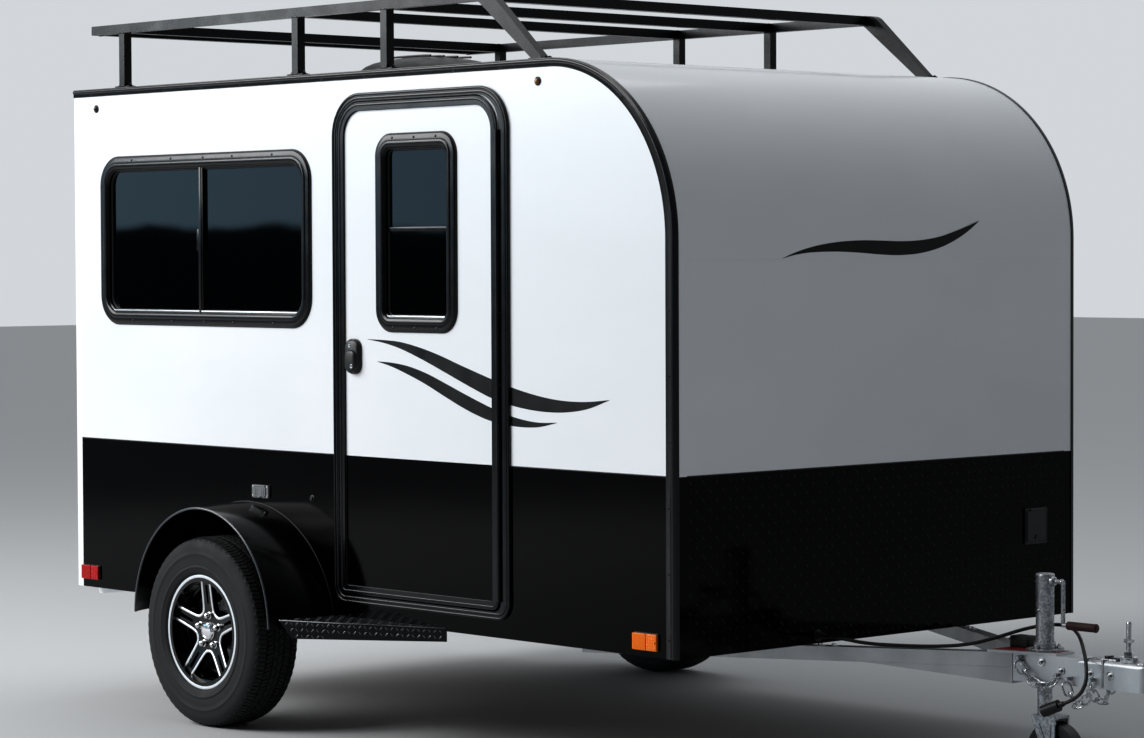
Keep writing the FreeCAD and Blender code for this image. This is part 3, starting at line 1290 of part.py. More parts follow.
def make_cable():
    """The lead from the front panel, over the coupler and behind the jack, to its plug: runs and arcs."""
    points = [FreeCAD.Vector(*place) for place in CABLE_ROUTE]
    points[0].x = (s.body_length + s.gland_flange + s.gland_length).value
    edges, radii = [], []
    last = points[0]
    for before, here, after in zip(points, points[1:], points[2:]):
        arriving, leaving = here - before, after - here
        turn = arriving.getAngle(leaving)
        reach = min(arriving.Length, leaving.Length) * ARC_SHARE
        radii.append(reach / math.tan(turn / 2))
        arriving.normalize()
        leaving.normalize()
        start, end = here - arriving * reach, here + leaving * reach
        inward = leaving - arriving
        inward.normalize()
        depth = radii[-1] * (1 / math.cos(turn / 2) - 1)
        edges.append(Part.LineSegment(last, start).toShape())
        edges.append(Part.Arc(start, here + inward * depth, end).toShape())
        last = end
    edges.append(Part.LineSegment(last, points[-1]).toShape())
    path = Part.Wire(edges)
    heading = points[1] - points[0]
    radius = s.cable_diameter.value / 2
    section = Part.Wire([Part.Circle(points[0], heading, radius).toShape()])
    tube = path.makePipeShell([section], True, False)
    expected = math.pi * radius * radius * path.Length
    print(f"cable {path.Length:.0f} mm, volume share {tube.Volume / expected:.4f}, "
          f"radii {[round(value) for value in radii]}")
    cable = document.addObject("Part::Feature", "trailer_cable")
    cable.Shape = tube
    keep(cable, "trailer_cable")
    make_gland(points[0])
    make_plug(points[-1], points[-1] - points[-2])


def make_gland(exit_point):
    """The tapered strain relief on the front panel."""
    axis = FreeCAD.Vector(1, 0, 0)
    base = FreeCAD.Vector(s.body_length.value, exit_point.y, exit_point.z)
    flange = Part.makeCylinder(s.gland_flange_radius.value, s.gland_flange.value, base, axis)
    neck = Part.makeCone(s.gland_radius.value, s.gland_nose_radius.value, s.gland_length.value,
                         base + axis * s.gland_flange.value, axis)
    gland = document.addObject("Part::Feature", "cable_gland")
    gland.Shape = flange.fuse(neck)
    keep(gland, "cable_gland")


def make_plug(start, heading):
    """The round plug on the cable's end: a tapered neck, the body and its front ring."""
    neck = Part.makeCone(s.gland_nose_radius.value, s.plug_neck_radius.value, s.plug_neck_length.value,
                         start, heading)
    heading.normalize()
    body_start = start + heading * s.plug_neck_length.value
    body = Part.makeCylinder(s.plug_radius.value, s.plug_length.value, body_start, heading)
    bore_depth = s.plug_length.value / 3
    bore = Part.makeCylinder(s.plug_radius.value - s.plug_wall.value, bore_depth,
                             body_start + heading * (s.plug_length.value - bore_depth), heading)
    plug = document.addObject("Part::Feature", "cable_plug")
    plug.Shape = neck.fuse(body).cut(bore)
    keep(plug, "cable_plug")


# Lamps and small fittings

def make_marker(name, station, bottom):
    """A lamp with rounded ends on the left side wall."""
    lamp = Piece(name)
    outline = rectangle(station, bottom, station + s.marker_length, bottom + s.marker_height)
    lamp.pad("XZ_Plane", half_width, half_width + s.marker_proud, outline)
    lamp.round(s.marker_radius, "XZ_Plane", outline)
    return lamp.body


def make_lamps():
    front = make_marker("front_marker", s.body_length - s.front_marker_setback,
                        s.wall_bottom + s.front_marker_lift)
    keep(both_sides("front_markers", front), "front_markers")
    rear = make_marker("rear_marker", s.rear_marker_setback, s.wall_bottom + s.rear_marker_lift)
    tail = Piece("tail_lamp")
    middle = half_width - s.rear_post_width / 2
    half = s.tail_lamp_width / 2
    foot = s.wall_bottom + s.tail_lamp_lift
    outline = rectangle(middle - half, foot, middle + half, foot + s.tail_lamp_height)
    tail.pad("YZ_Plane", -s.tail_lamp_proud, zero, outline)
    tail.round(half / 2, "YZ_Plane", outline)
    keep(group("rear_lamps", rear, mirrored("rear_marker_mirror", rear), tail.body,
               mirrored("tail_lamp_mirror", tail.body)), "rear_lamps")


def make_small_fittings():
    """The power inlet on the right, the hatch on the front and the blank plate on the ramp."""
    inlet = Piece("power_inlet")
    rear = wheel_station + s.inlet_lead
    foot = s.tyre_radius + s.fender_rise + s.fender_skin + s.inlet_fender_gap
    outline = rectangle(rear, foot, rear + s.inlet_width, foot + s.inlet_height)
    low, high = side_span(RIGHT, half_width, half_width + s.inlet_proud)
    inlet.pad("XZ_Plane", low, high, outline)
    inlet.round(s.marker_radius, "XZ_Plane", outline)
    keep(inlet.body, "power_inlet")
    hatch = Piece("front_hatch")
    outer, foot = half_width - s.hatch_inset, s.waist_height - s.hatch_waist_drop
    outline = rectangle(outer - s.hatch_width, foot, outer, foot + s.hatch_height)
    hatch.pad("YZ_Plane", s.body_length, s.body_length + s.hatch_proud, outline)
    hatch.round(s.marker_radius, "YZ_Plane", outline)
    keep(hatch.body, "front_hatch")
    holder = Piece("plate_holder")
    outer, foot = lock_bar_side - s.plate_bar_gap, s.wall_bottom + s.plate_holder_lift
    outline = rectangle(outer - s.plate_holder_width, foot, outer, foot + s.plate_holder_height)
    holder.pad("YZ_Plane", -s.plate_holder_thickness, zero, outline)
    holder.round(s.marker_radius, "YZ_Plane", outline)
    keep(holder.body, "plate_holder")


def check_and_export():
    """Stop on a failed object, then write each sub-part to its own file."""
    document.recompute()
    failed = [thing.Name for thing in document.Objects if {"Invalid", "Error"} & set(thing.State)]
    failed += [thing.Label for thing in nodes if thing.Shape.isNull() or not thing.Shape.isValid()]
    if failed:
        raise RuntimeError(f"not built: {failed}")
    os.makedirs("parts", exist_ok=True)
    for thing in nodes:
        thing.Shape.exportStep(f"parts/{thing.Label}.step")
    print(len(nodes), "sub-parts written")


make_upper_wall("wall_right_upper", RIGHT)
make_upper_wall("wall_left_upper", LEFT)
make_lower_wall("wall_right_lower", RIGHT)
make_lower_wall("wall_left_lower", LEFT)
make_roof_panel()
make_front_panel()
make_floor()
make_corner_trims()
make_rear_frame()
make_ramp()
make_ramp_hinge()
make_door_slab()
make_door_trims()
make_door_hinge()
make_door_handle()
make_side_windows()
make_door_window()
make_vent()
make_rack()
make_chassis()
make_axle()
make_wheel("right", RIGHT)
make_wheel("left", LEFT)
make_fenders()
make_step()
make_tongue()
make_jack()
make_chains()
make_cable()
make_lamps()
make_small_fittings()
check_and_export()
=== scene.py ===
"""Looks of a small camping trailer with a rounded front: finishes and the fine pieces round its solids.

Sizes are in millimetres. Stations count forwards from the rear face of the body, sides to the
trailer's left, and heights up from the ground.
"""

from __future__ import annotations

import logging
from collections.abc import Sequence
from dataclasses import dataclass
from enum import Enum
from math import asin, atan2, cos, degrees, dist, hypot, pi, radians, sin, tau

import bmesh
import bpy
import numpy as np
from mathutils import Matrix, Vector
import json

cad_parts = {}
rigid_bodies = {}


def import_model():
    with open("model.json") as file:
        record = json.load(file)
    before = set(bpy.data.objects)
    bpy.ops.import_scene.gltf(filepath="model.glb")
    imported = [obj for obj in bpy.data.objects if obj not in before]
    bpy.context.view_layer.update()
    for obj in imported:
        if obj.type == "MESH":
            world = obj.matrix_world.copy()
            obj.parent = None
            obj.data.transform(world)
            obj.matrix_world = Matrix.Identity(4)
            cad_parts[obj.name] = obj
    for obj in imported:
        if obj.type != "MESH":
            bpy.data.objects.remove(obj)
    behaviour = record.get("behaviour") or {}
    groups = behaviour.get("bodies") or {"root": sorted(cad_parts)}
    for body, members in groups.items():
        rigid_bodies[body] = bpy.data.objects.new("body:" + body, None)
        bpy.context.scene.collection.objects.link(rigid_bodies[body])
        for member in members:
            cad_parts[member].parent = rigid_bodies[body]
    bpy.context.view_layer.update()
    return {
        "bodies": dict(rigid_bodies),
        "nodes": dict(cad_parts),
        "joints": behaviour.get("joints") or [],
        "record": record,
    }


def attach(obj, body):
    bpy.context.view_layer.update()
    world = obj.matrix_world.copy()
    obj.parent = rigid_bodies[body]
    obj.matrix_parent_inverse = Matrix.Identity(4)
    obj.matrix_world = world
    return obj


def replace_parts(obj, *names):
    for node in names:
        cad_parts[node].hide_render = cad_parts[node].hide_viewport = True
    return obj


log = logging.getLogger("camping_trailer")

METRE = 1000.0
REAR_FACE = -2225.0
LENGTH, HALF_WIDTH, ROOF, WAIST, FOOT = 3353.0, 988.5, 2351.0, 1001.0, 420.0
NOSE_CENTRE = Vector((2760.0, 0.0, 1758.0))
NOSE_RADIUS = 593.0
PHOTO_WIDTH = 1144
SENSOR = 36.0
LACQUER = 0.04  # How rough a clear coat is.
SOLID_SHARP = 28.0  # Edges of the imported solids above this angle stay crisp.

Pair, Triple = tuple[float, float], tuple[float, float, float]
Outline = list[Pair]
Tree, Node, Socket = bpy.types.NodeTree, bpy.types.Node, bpy.types.NodeSocket


class Ride(Enum):
    """The bodies that pieces move with."""

    TRAILER = "trailer"
    DOOR = "entry_door"
    RAMP = "loading_ramp"
    VENT = "roof_vent"
    WHEEL_RIGHT = "wheel_right"
    WHEEL_LEFT = "wheel_left"
    JACK_FORK = "jack_caster"
    JACK_WHEEL = "jack_roller"


def at(station: float, side: float, height: float) -> Vector:
    """A point or a direction on the trailer, along, to the left and up."""
    return Vector((station, side, height))


def place(point: Vector) -> Vector:
    """Turns a point of the trailer, in millimetres, to the row frame, in metres."""
    return at(point[0] + REAR_FACE, point[1], point[2]) / METRE


def circle(count: int) -> list[float]:
    """The angles of equal steps round a circle."""
    return [tau * step / count for step in range(count)]


def show(name: str, data: bpy.types.ID) -> bpy.types.Object:
    """Puts a mesh, curve, light or camera into the scene."""
    made = bpy.data.objects.new(name, data)
    bpy.context.scene.collection.objects.link(made)
    return made


def colour(code: str) -> tuple[float, float, float, float]:
    """Turns an sRGB hex colour to linear values.

    Args:
        code: Six hex digits after a hash sign.

    Returns:
        Red, green, blue and an alpha of one.
    """
    shares = [int(code[i:i + 2], 16) / 255 for i in (1, 3, 5)]
    red, green, blue = (c / 12.92 if c <= 0.04045 else ((c + 0.055) / 1.055) ** 2.4 for c in shares)
    return red, green, blue, 1.0


def add(tree: Tree, kind: str, feeds: dict | None = None, **settings: object) -> Node:
    """Adds a shader node with its settings and links.

    Args:
        tree: The material's node tree.
        kind: The node's type, without the words ShaderNode.
        feeds: Values or sockets for its inputs, by name or number.
        settings: The node's own fields.

    Returns:
        The node.
    """
    node = tree.nodes.new("ShaderNode" + kind)
    for name, value in settings.items():
        setattr(node, name, value)
    for key, value in (feeds or {}).items():
        if isinstance(value, Socket):
            tree.links.new(value, node.inputs[key])
        else:
            node.inputs[key].default_value = value
    return node


@dataclass(frozen=True)
class Finish:
    """A real material and its surface, as a node material that is made once."""

    name: str
    tint: str
    roughness: float = 0.5
    metallic: float = 0.0
    ior: float = 1.5
    coat: float = 0.0
    transmission: float = 0.0
    shade: str = ""  # The second tint of a finish that varies.

    def material(self) -> bpy.types.Material:
        """The finish's material, made when it is first asked for."""
        known = bpy.data.materials.get(self.name)
        if known:
            return known
        made = bpy.data.materials.new(self.name)
        made.use_nodes = True
        tree = made.node_tree
        tree.nodes.clear()
        feeds = {"Base Color": colour(self.tint), "Roughness": self.roughness, "Metallic": self.metallic,
                 "Coat Weight": self.coat, "Coat Roughness": LACQUER, "Transmission Weight": self.transmission}
        if not self.metallic:
            feeds["IOR"] = self.ior
        shader = add(tree, "BsdfPrincipled", feeds)
        add(tree, "OutputMaterial", {"Surface": shader.outputs["BSDF"]})
        self.pattern(tree, shader)
        return made

    def pattern(self, tree: Tree, shader: Node) -> None:
        """Adds what varies over the surface. A plain finish has nothing."""

    @staticmethod
    def space(tree: Tree, *period: float) -> Socket:
        """Object space in which a pattern repeats once per period.

        Args:
            tree: The material's node tree.
            period: The real size in millimetres, once or for each axis.

        Returns:
            The scaled coordinates.
        """
        sizes = period if len(period) == 3 else period * 3
        where = add(tree, "TexCoord").outputs["Object"]
        scale = tuple(METRE / size for size in sizes)
        return add(tree, "Mapping", {"Vector": where, "Scale": scale}).outputs["Vector"]

    def noise(self, tree: Tree, *period: float, detail: float = 3.0) -> Socket:
        """Soft noise whose lumps are a real size in millimetres."""
        return add(tree, "TexNoise", {"Vector": self.space(tree, *period), "Scale": 1.0,
                                      "Detail": detail}).outputs["Fac"]

    def vary(self, tree: Tree, shader: Node, amount: Socket, low: float, high: float) -> None:
        """Lets a pattern drive the roughness between two shares of the finish's own."""
        spread = add(tree, "MapRange", {"Value": amount, "From Min": 0.3, "From Max": 0.7,
                                        "To Min": self.roughness * low, "To Max": min(self.roughness * high, 1.0)})
        tree.links.new(spread.outputs["Result"], shader.inputs["Roughness"])

    def blend(self, tree: Tree, shader: Node, amount: Socket) -> None:
        """Lets a pattern mix the finish's tint with its shade."""
        share = add(tree, "MapRange", {"Value": amount, "From Min": 0.3, "From Max": 0.7})
        mixed = add(tree, "Mix", {"Factor": share.outputs["Result"], "A": colour(self.tint),
                                  "B": colour(self.shade)}, data_type="RGBA")
        tree.links.new(mixed.outputs[2], shader.inputs["Base Color"])

    @staticmethod
    def relief(tree: Tree, shader: Node, *layers: tuple) -> None:
        """Raises patterns out of the surface.

        Args:
            tree: The material's node tree.
            shader: The finish's shader.
            layers: Pairs of a height pattern and its real depth in millimetres.
        """
        normal = None
        for height, depth in layers:
            feeds = {"Height": height, "Distance": depth / METRE, "Strength": 1.0}
            if normal:
                feeds["Normal"] = normal
            normal = add(tree, "Bump", feeds).outputs["Normal"]
        tree.links.new(normal, shader.inputs["Normal"])


@dataclass(frozen=True)
class Gelcoat(Finish):
    """Moulded sheet with a gelcoat face: glossy, with a slow waviness and a fine orange peel."""

    shade: str = "#dfe2e5"

    def pattern(self, tree: Tree, shader: Node) -> None:
        """Wavy over half a metre, fine peel at 3 mm, and a trace of road film."""
        film = self.noise(tree, 700.0, 700.0, 320.0, detail=4.0)
        self.blend(tree, shader, film)
        self.vary(tree, shader, film, 0.85, 1.25)
        self.relief(tree, shader, (self.noise(tree, 520.0, detail=1.0), 0.9), (self.noise(tree, 3.0), 0.012))


@dataclass(frozen=True)
class PowderCoat(Finish):
    """Powder-coated metal: an even satin with the small pimples that the powder leaves."""

    def pattern(self, tree: Tree, shader: Node) -> None:
        """Pimples of 1.6 mm, and a satin that changes over a hand's width."""
        self.vary(tree, shader, self.noise(tree, 90.0), 0.8, 1.2)
        self.relief(tree, shader, (self.noise(tree, 1.6), 0.03))


@dataclass(frozen=True)
class MouldedPlastic(Finish):
    """Moulded ABS or nylon with a fine spark-eroded grain that takes the shine off."""

    def pattern(self, tree: Tree, shader: Node) -> None:
        """Grain cells of 0.9 mm, drawn coarser than the real 0.3 mm so that they show."""
        cells = add(tree, "TexVoronoi", {"Vector": self.space(tree, 0.9), "Scale": 1.0}).outputs["Distance"]
        self.vary(tree, shader, self.noise(tree, 40.0), 0.85, 1.15)
        self.relief(tree, shader, (cells, 0.04))


@dataclass(frozen=True)
class MillMetal(Finish):
    """Extruded aluminium as it leaves the die: long draw lines and a cloudy oxide."""

    shade: str = "#b3b5b6"
    grain: Triple = (260, 2.2, 2.2)

    def pattern(self, tree: Tree, shader: Node) -> None:
        """Draw lines 2 mm apart along the trailer, clouds of 130 mm."""
        clouds = self.noise(tree, 130.0, detail=5.0)
        lines = self.noise(tree, *self.grain)
        self.blend(tree, shader, clouds)
        self.vary(tree, shader, lines, 0.8, 1.3)
        self.relief(tree, shader, (lines, 0.03))


@dataclass(frozen=True)
class Galvanised(Finish):
    """Hot-dip zinc on steel: grey crystals of mixed lightness, each with its own shine."""

    shade: str = "#8d9092"
    spangle: float = 9.0

    def pattern(self, tree: Tree, shader: Node) -> None:
        """Crystals of a real size over a skin that is uneven every 14 mm."""
        space = self.space(tree, self.spangle)
        crystal = add(tree, "TexVoronoi", {"Vector": space, "Scale": 1.0}).outputs["Color"]
        light = add(tree, "SeparateXYZ", {"Vector": crystal}).outputs["X"]
        self.blend(tree, shader, light)
        self.vary(tree, shader, light, 0.75, 1.35)
        self.relief(tree, shader, (self.noise(tree, 14.0), 0.12))


@dataclass(frozen=True)
class Rubber(Finish):
    """Cured black rubber: matt, a little dusty, with a fine skin."""

    shade: str = "#2b2b2c"

    def pattern(self, tree: Tree, shader: Node) -> None:
        """Dust in patches of 70 mm over a skin of 1.4 mm."""
        dust = self.noise(tree, 70.0, detail=6.0)
        self.blend(tree, shader, dust)
        self.vary(tree, shader, dust, 0.9, 1.15)
        self.relief(tree, shader, (self.noise(tree, 1.4), 0.05))


@dataclass(frozen=True)
class Lens(Finish):
    """Moulded acrylic lamp lens: clear colour over upright flutes that break up the light."""

    flute: float = 5.0

    def pattern(self, tree: Tree, shader: Node) -> None:
        """Flutes 5 mm apart."""
        waves = add(tree, "TexWave", {"Vector": self.space(tree, self.flute), "Scale": 0.16,
                                      "Distortion": 0.0}, bands_direction="DIAGONAL")
        self.relief(tree, shader, (waves.outputs["Fac"], 0.5))


@dataclass(frozen=True)
class Plywood(Finish):
    """Sealed plywood deck: long brown grain under a thin grey film."""

    shade: str = "#6d5640"

    def pattern(self, tree: Tree, shader: Node) -> None:
        """Grain lines 8 mm wide and half a metre long."""
        lines = self.noise(tree, 480.0, 8.0, 8.0, detail=6.0)
        self.blend(tree, shader, lines)
        self.relief(tree, shader, (lines, 0.15))


# Every finish of the trailer, by its place on it.
# White gelcoat: bright and wet-looking, with soft long reflections.
WHITE = Gelcoat("gelcoat_white_gloss", "#e6e8eb", roughness=0.2, coat=0.15)
# Black gelcoat: a deep mirror that shows its waves more than the white does.
BLACK = Gelcoat("gelcoat_black_gloss", "#010102", roughness=0.08, ior=1.17, shade="#020203")
# White enamel on the rear frame's aluminium.
FRAME = PowderCoat("powder_coat_white_satin", "#e9ebec", roughness=0.3)
# Black powder coat on the aluminium corner and door extrusions: satin with crisp lights on its edges.
TRIM = PowderCoat("powder_coat_black_trim", "#040406", roughness=0.19, ior=1.38)
# Black paint on steel: rack, fenders, step and axle.
STEEL = PowderCoat("paint_black_steel", "#040406", roughness=0.27, ior=1.3)
ALUMINIUM = MillMetal("aluminium_mill_finish", "#cdcfd1", roughness=0.4, metallic=1.0, shade="#adb0b3")
ZINC = Galvanised("steel_galvanised_spangle", "#b7b9bc", roughness=0.46, metallic=1.0, shade="#95989c", spangle=6.0)
# Bright zinc plate on bolts, pins and chain: smaller crystals and more shine.
BRIGHT_ZINC = Galvanised("steel_zinc_plated", "#d2d4d6", roughness=0.24, metallic=1.0, shade="#a9acae", spangle=3.0)
PLASTIC = MouldedPlastic("abs_black_moulded", "#08080a", roughness=0.42, ior=1.46)
GREY_PLASTIC = MouldedPlastic("abs_grey_moulded", "#6b6e70", roughness=0.5)
# Tinted float glass: nearly black from outside, with a faint view of the cabin.
GLASS = Finish("glass_tinted_float", "#10161b", roughness=0.02, ior=1.45, transmission=0.9)
TYRE = Rubber("rubber_tyre_cured", "#121314", roughness=0.72, ior=1.42, shade="#1e1f21")
SEAL = Rubber("rubber_seal_extruded", "#070708", roughness=0.5, ior=1.42, shade="#0b0b0c")
GRIP = Rubber("rubber_grip_dark_red", "#2a0a0c", roughness=0.5, ior=1.42, shade="#351011")
JACKET = Rubber("pvc_cable_jacket", "#08080a", roughness=0.4, ior=1.45, shade="#0e0e10")
# Wheel disc: gloss black paint under clear lacquer.
RIM = PowderCoat("alloy_painted_gloss_black", "#050506", roughness=0.18, ior=1.42)
# Edges cut bright on a lathe after painting.
CUT_ALLOY = Finish("alloy_machined_bright", "#f2f3f4", roughness=0.38, metallic=1.0)
AMBER = Lens("acrylic_lens_amber", "#f57a0a", roughness=0.16, ior=1.42, transmission=0.1)
RED = Lens("acrylic_lens_red", "#b40b0b", roughness=0.16, ior=1.42, transmission=0.1)
# The small round lamps high on the sides, unlit: their lens tints are darkened, a painted shade of the dark socket
# behind each lens.
SHADED_AMBER_LENS = Lens("acrylic_lens_amber_painted_shade", "#7a4f18", roughness=0.14, ior=1.45, transmission=0.2)
SHADED_RED_LENS = Lens("acrylic_lens_red_painted_shade", "#2c0606", roughness=0.14, ior=1.45, transmission=0.2)
DECK = Plywood("plywood_sealed_deck", "#8a6f53", roughness=0.6)
# Chrome plate on the wheel's cap and nuts.
CHROME = Finish("steel_chrome_plated", "#e6e7e9", roughness=0.08, metallic=1.0)
# Anodised aluminium of the window track, the one bright line in the dark frame.
ALUMINIUM_BRIGHT = MillMetal("aluminium_clear_anodised", "#dfe1e3", roughness=0.3, metallic=1.0,
                             shade="#cfd1d3", grain=(200.0, 1.5, 1.5))
DARK_STEEL = PowderCoat("steel_blackened_screw", "#3a3b3f", roughness=0.3, metallic=1.0)
# Cut vinyl film: flat black with a low, even sheen.
VINYL = PowderCoat("vinyl_film_black", "#030304", roughness=0.34, ior=1.3)
LABEL = PowderCoat("vinyl_film_red", "#6e1219", roughness=0.4)
CLEAR = Lens("acrylic_lens_clear", "#d8dcdf", roughness=0.1, ior=1.49, transmission=0.55)
# A flat near-black sheet behind the door window's lower half: painted shade that darkens that half of the glass.
SHADE_SHEET = Rubber("sheet_black_painted_shade", "#020202", roughness=0.9, ior=1.2, shade="#040404")
# Butyl sealant: a matt off-white bead, smoothed by a finger.
SEALANT = Rubber("butyl_sealant_grey", "#8f9294", roughness=0.7, shade="#7f8284")
# Gloss paint on the fenders: nearly as deep a mirror as the walls.
FENDER = PowderCoat("paint_black_gloss_fender", "#030304", roughness=0.17, ior=1.26)
# Black paint lightened to grey, with a glossier coat: a painted highlight along the fenders' rolled lips and on the
# step's tread bars.
HIGHLIGHT_BLACK = PowderCoat("paint_black_painted_highlight", "#3a3d42", roughness=0.22, coat=0.5)
# Paint worn to the steel where feet rub.
WORN_EDGE = MillMetal("steel_worn_edge", "#9b9da0", roughness=0.35, metallic=1.0, shade="#5c5e61")


@dataclass(frozen=True)
class Face:
    """A flat side of the trailer with its own across, up and out."""

    origin: Vector
    across: Vector
    up: Vector
    out: Vector

    def point(self, across: float, up: float, out: float = 0.0) -> Vector:
        """A point on the face, or proud of it."""
        return self.origin + self.across * across + self.up * up + self.out * out

    def line(self, outline: Outline, out: float = 0.0) -> list[Vector]:
        """The points of an outline on the face, or proud of it."""
        return [self.point(u, v, out) for u, v in outline]


X, Y, Z = at(1, 0, 0), at(0, 1, 0), at(0, 0, 1)
RIGHT = Face(at(0, -HALF_WIDTH, 0), X, Z, -Y)
LEFT = Face(at(0, HALF_WIDTH, 0), X, Z, Y)
FRONT = Face(at(LENGTH, 0, 0), Y, Z, X)
REAR = Face(at(0, 0, 0), Y, Z, -X)


def upright(station: float) -> Face:
    """A plane that stands across the trailer at a station."""
    return Face(at(station, 0, 0), Y, Z, X)


def level(station: float, side: float, height: float) -> Face:
    """A level plane with its zero at a point."""
    return Face(at(station, side, height), X, Y, Z)


def rounded(low: Pair, high: Pair, radius: float,
            foot: float | None = None, steps: int = 8, inset: float = 0.0) -> Outline:
    """A rectangle with rounded corners.

    Args:
        low: Its lower rear corner.
        high: Its upper front corner.
        radius: The radius of its upper corners.
        foot: The radius of its lower corners, where that differs.
        steps: Segments of each corner.
        inset: How far its sides lie inside those two corners.

    Returns:
        The outline's points, turning one way.
    """
    low, high = [value + inset for value in low], [value - inset for value in high]
    foot = radius if foot is None else foot
    corners = ((low[0], low[1], foot, 180), (high[0], low[1], foot, 270),
               (high[0], high[1], radius, 0), (low[0], high[1], radius, 90))
    points = []
    for x, y, r, start in corners:
        cx = x + r if x == low[0] else x - r
        cy = y + r if y == low[1] else y - r
        for step in range(steps + 1):
            turn = radians(start + 90 * step / steps)
            points.append((cx + r * cos(turn), cy + r * sin(turn)))
    return points


class Mould:
    """Collects shapes in millimetres and turns them into one piece."""

    def __init__(self, name: str) -> None:
        """Starts an empty piece of that name."""
        self.name = name
        self.mesh = bmesh.new()

    def ring(self, points: list[Vector]) -> list[bmesh.types.BMVert]:
        """Adds one loop of points."""
        return [self.mesh.verts.new(point) for point in points]

    def skin(self, rings: list[list], closed: bool = False) -> None:
        """Joins rings of the same count with faces.

        Args:
            rings: The rings in order.
            closed: Whether the last ring meets the first.
        """
        for here, there in list(zip(rings, rings[1:])) + ([(rings[-1], rings[0])] if closed else []):
            for index in range(len(here)):
                after = (index + 1) % len(here)
                self.mesh.faces.new((here[index], here[after], there[after], there[index]))

    def loft(self, rings: list[list], closed: bool = False) -> None:
        """Joins rings and caps both ends, unless the last ring meets the first."""
        self.skin(rings, closed)
        if not closed:
            self.mesh.faces.new(rings[0])
            self.mesh.faces.new(rings[-1])

    def slab(self, face: Face, low: Triple, high: Triple, soft: float = 0.0) -> None:
        """Adds a block between two corners of a face's across, up and out, with softened edges."""
        rings = [self.ring([face.point(low[0], low[1], out), face.point(high[0], low[1], out),
                            face.point(high[0], high[1], out), face.point(low[0], high[1], out)])
                 for out in (low[2], high[2])]
        self.loft(rings)
        if soft:
            edges = {edge for ring in rings for vert in ring for edge in vert.link_edges}
            bmesh.ops.bevel(self.mesh, geom=list(edges), offset=soft, segments=2, affect="EDGES", profile=0.6)

    def plate(self, face: Face, outline: Outline, low: float, high: float, soft: float = 0.0) -> None:
        """Adds a plate of any outline between two distances out of a face."""
        levels = [(low, 0), (high - soft, 0), (high, soft)] if soft else [(low, 0), (high, 0)]
        middle = (sum(u for u, _ in outline) / len(outline), sum(v for _, v in outline) / len(outline))
        rings = []
        for out, shrink in levels:
            ring = []
            for u, v in outline:
                away = Vector((u - middle[0], v - middle[1]))
                share = max(0, 1 - shrink / max(away.length, 0.001))
                ring.append(face.point(middle[0] + away.x * share, middle[1] + away.y * share, out))
            rings.append(self.ring(ring))
        self.loft(rings)

    @staticmethod
    def walk(path: list[Vector], closed: bool) -> list[tuple[Vector, Vector, Vector]]:
        """Each point of a path between the one before it and the one after it."""
        before = (path[-1:] if closed else path[:1]) + path[:-1]
        after = path[1:] + (path[:1] if closed else path[-1:])
        return list(zip(before, path, after))

    def sweep(self, path: list[Vector], section: Outline, out: Vector, closed: bool = False) -> None:
        """Carries a section along a flat path.

        Args:
            path: The path's points.
            section: The section, as distances beside the path and out of its plane.
            out: The direction out of the plane.
            closed: Whether the path ends where it starts.
        """
        rings = []
        for before, point, after in self.walk(path, closed):
            arriving = (point - before).normalized() if (point - before).length else None
            leaving = (after - point).normalized() if (after - point).length else None
            arriving, leaving = arriving or leaving, leaving or arriving
            heading = (arriving + leaving).normalized()
            beside = heading.cross(out).normalized()
            stretch = 1 / max(0.5, heading.dot(leaving))
            rings.append(self.ring([point + beside * (u * stretch) + out * v for u, v in section]))
        self.loft(rings, closed)

    def tube(self, path: list[Vector], radius: float, sides: int = 12, closed: bool = False) -> None:
        """Adds a round tube along any path."""
        rings, side = [], None
        for before, point, after in self.walk(path, closed):
            heading = (after - before).normalized()
            side = heading.orthogonal() if side is None else side - heading * side.dot(heading)
            side.normalize()
            other = heading.cross(side)
            rings.append(self.ring([point + (side * cos(a) + other * sin(a)) * radius for a in circle(sides)]))
        self.loft(rings, closed)

    def lathe(self, centre: Vector, axis: Vector, profile: Outline, sides: int = 32, closed: bool = False) -> None:
        """Turns a profile about an axis.

        Args:
            centre: The profile's zero on the axis.
            axis: The axis's direction.
            profile: Pairs of a distance along the axis and a radius.
            sides: Segments round the axis.
            closed: Whether the profile closes on itself; otherwise its ends are capped.
        """
        axis = axis.normalized()
        side = axis.orthogonal().normalized()
        other = axis.cross(side)
        rings = [self.ring([centre + axis * along + (side * cos(a) + other * sin(a)) * radius
                            for a in circle(sides)]) for along, radius in profile]
        self.loft(rings, closed)

    def screw(self, centre: Vector, out: Vector, radius: float, height: float, sides: int = 12) -> None:
        """Adds a low domed screw or rivet head on a washer."""
        self.lathe(centre, out, [(-0.5, radius * 1.25), (height * 0.2, radius * 1.25),
                                 (height * 0.25, radius), (height * 0.7, radius * 0.8),
                                 (height, radius * 0.35)], sides)

    def screws(self, face: Face, columns: Sequence[float], rows: Sequence[float], out: float, radius: float,
               height: float, sides: int = 12) -> None:
        """Adds a screw wherever a column and a row of a face meet."""
        for across in columns:
            for up in rows:
                self.screw(face.point(across, up, out), face.out, radius, height, sides)

    def bolt(self, centre: Vector, out: Vector, flats: float, height: float, stub: float = 0.0) -> None:
        """Adds a hexagon head on a washer, with the end of its thread where the stub says."""
        self.lathe(centre, out, [(-0.5, flats * 1.05), (1.8, flats * 1.05)], 24)
        self.lathe(centre, out, [(1.8, flats * 0.577), (height * 0.86, flats * 0.577), (height, flats * 0.5)], 6)
        if stub:
            self.lathe(centre, out, [(height - 1, flats * 0.3), (height + stub, flats * 0.3),
                                     (height + stub + 1, flats * 0.24)], 12)

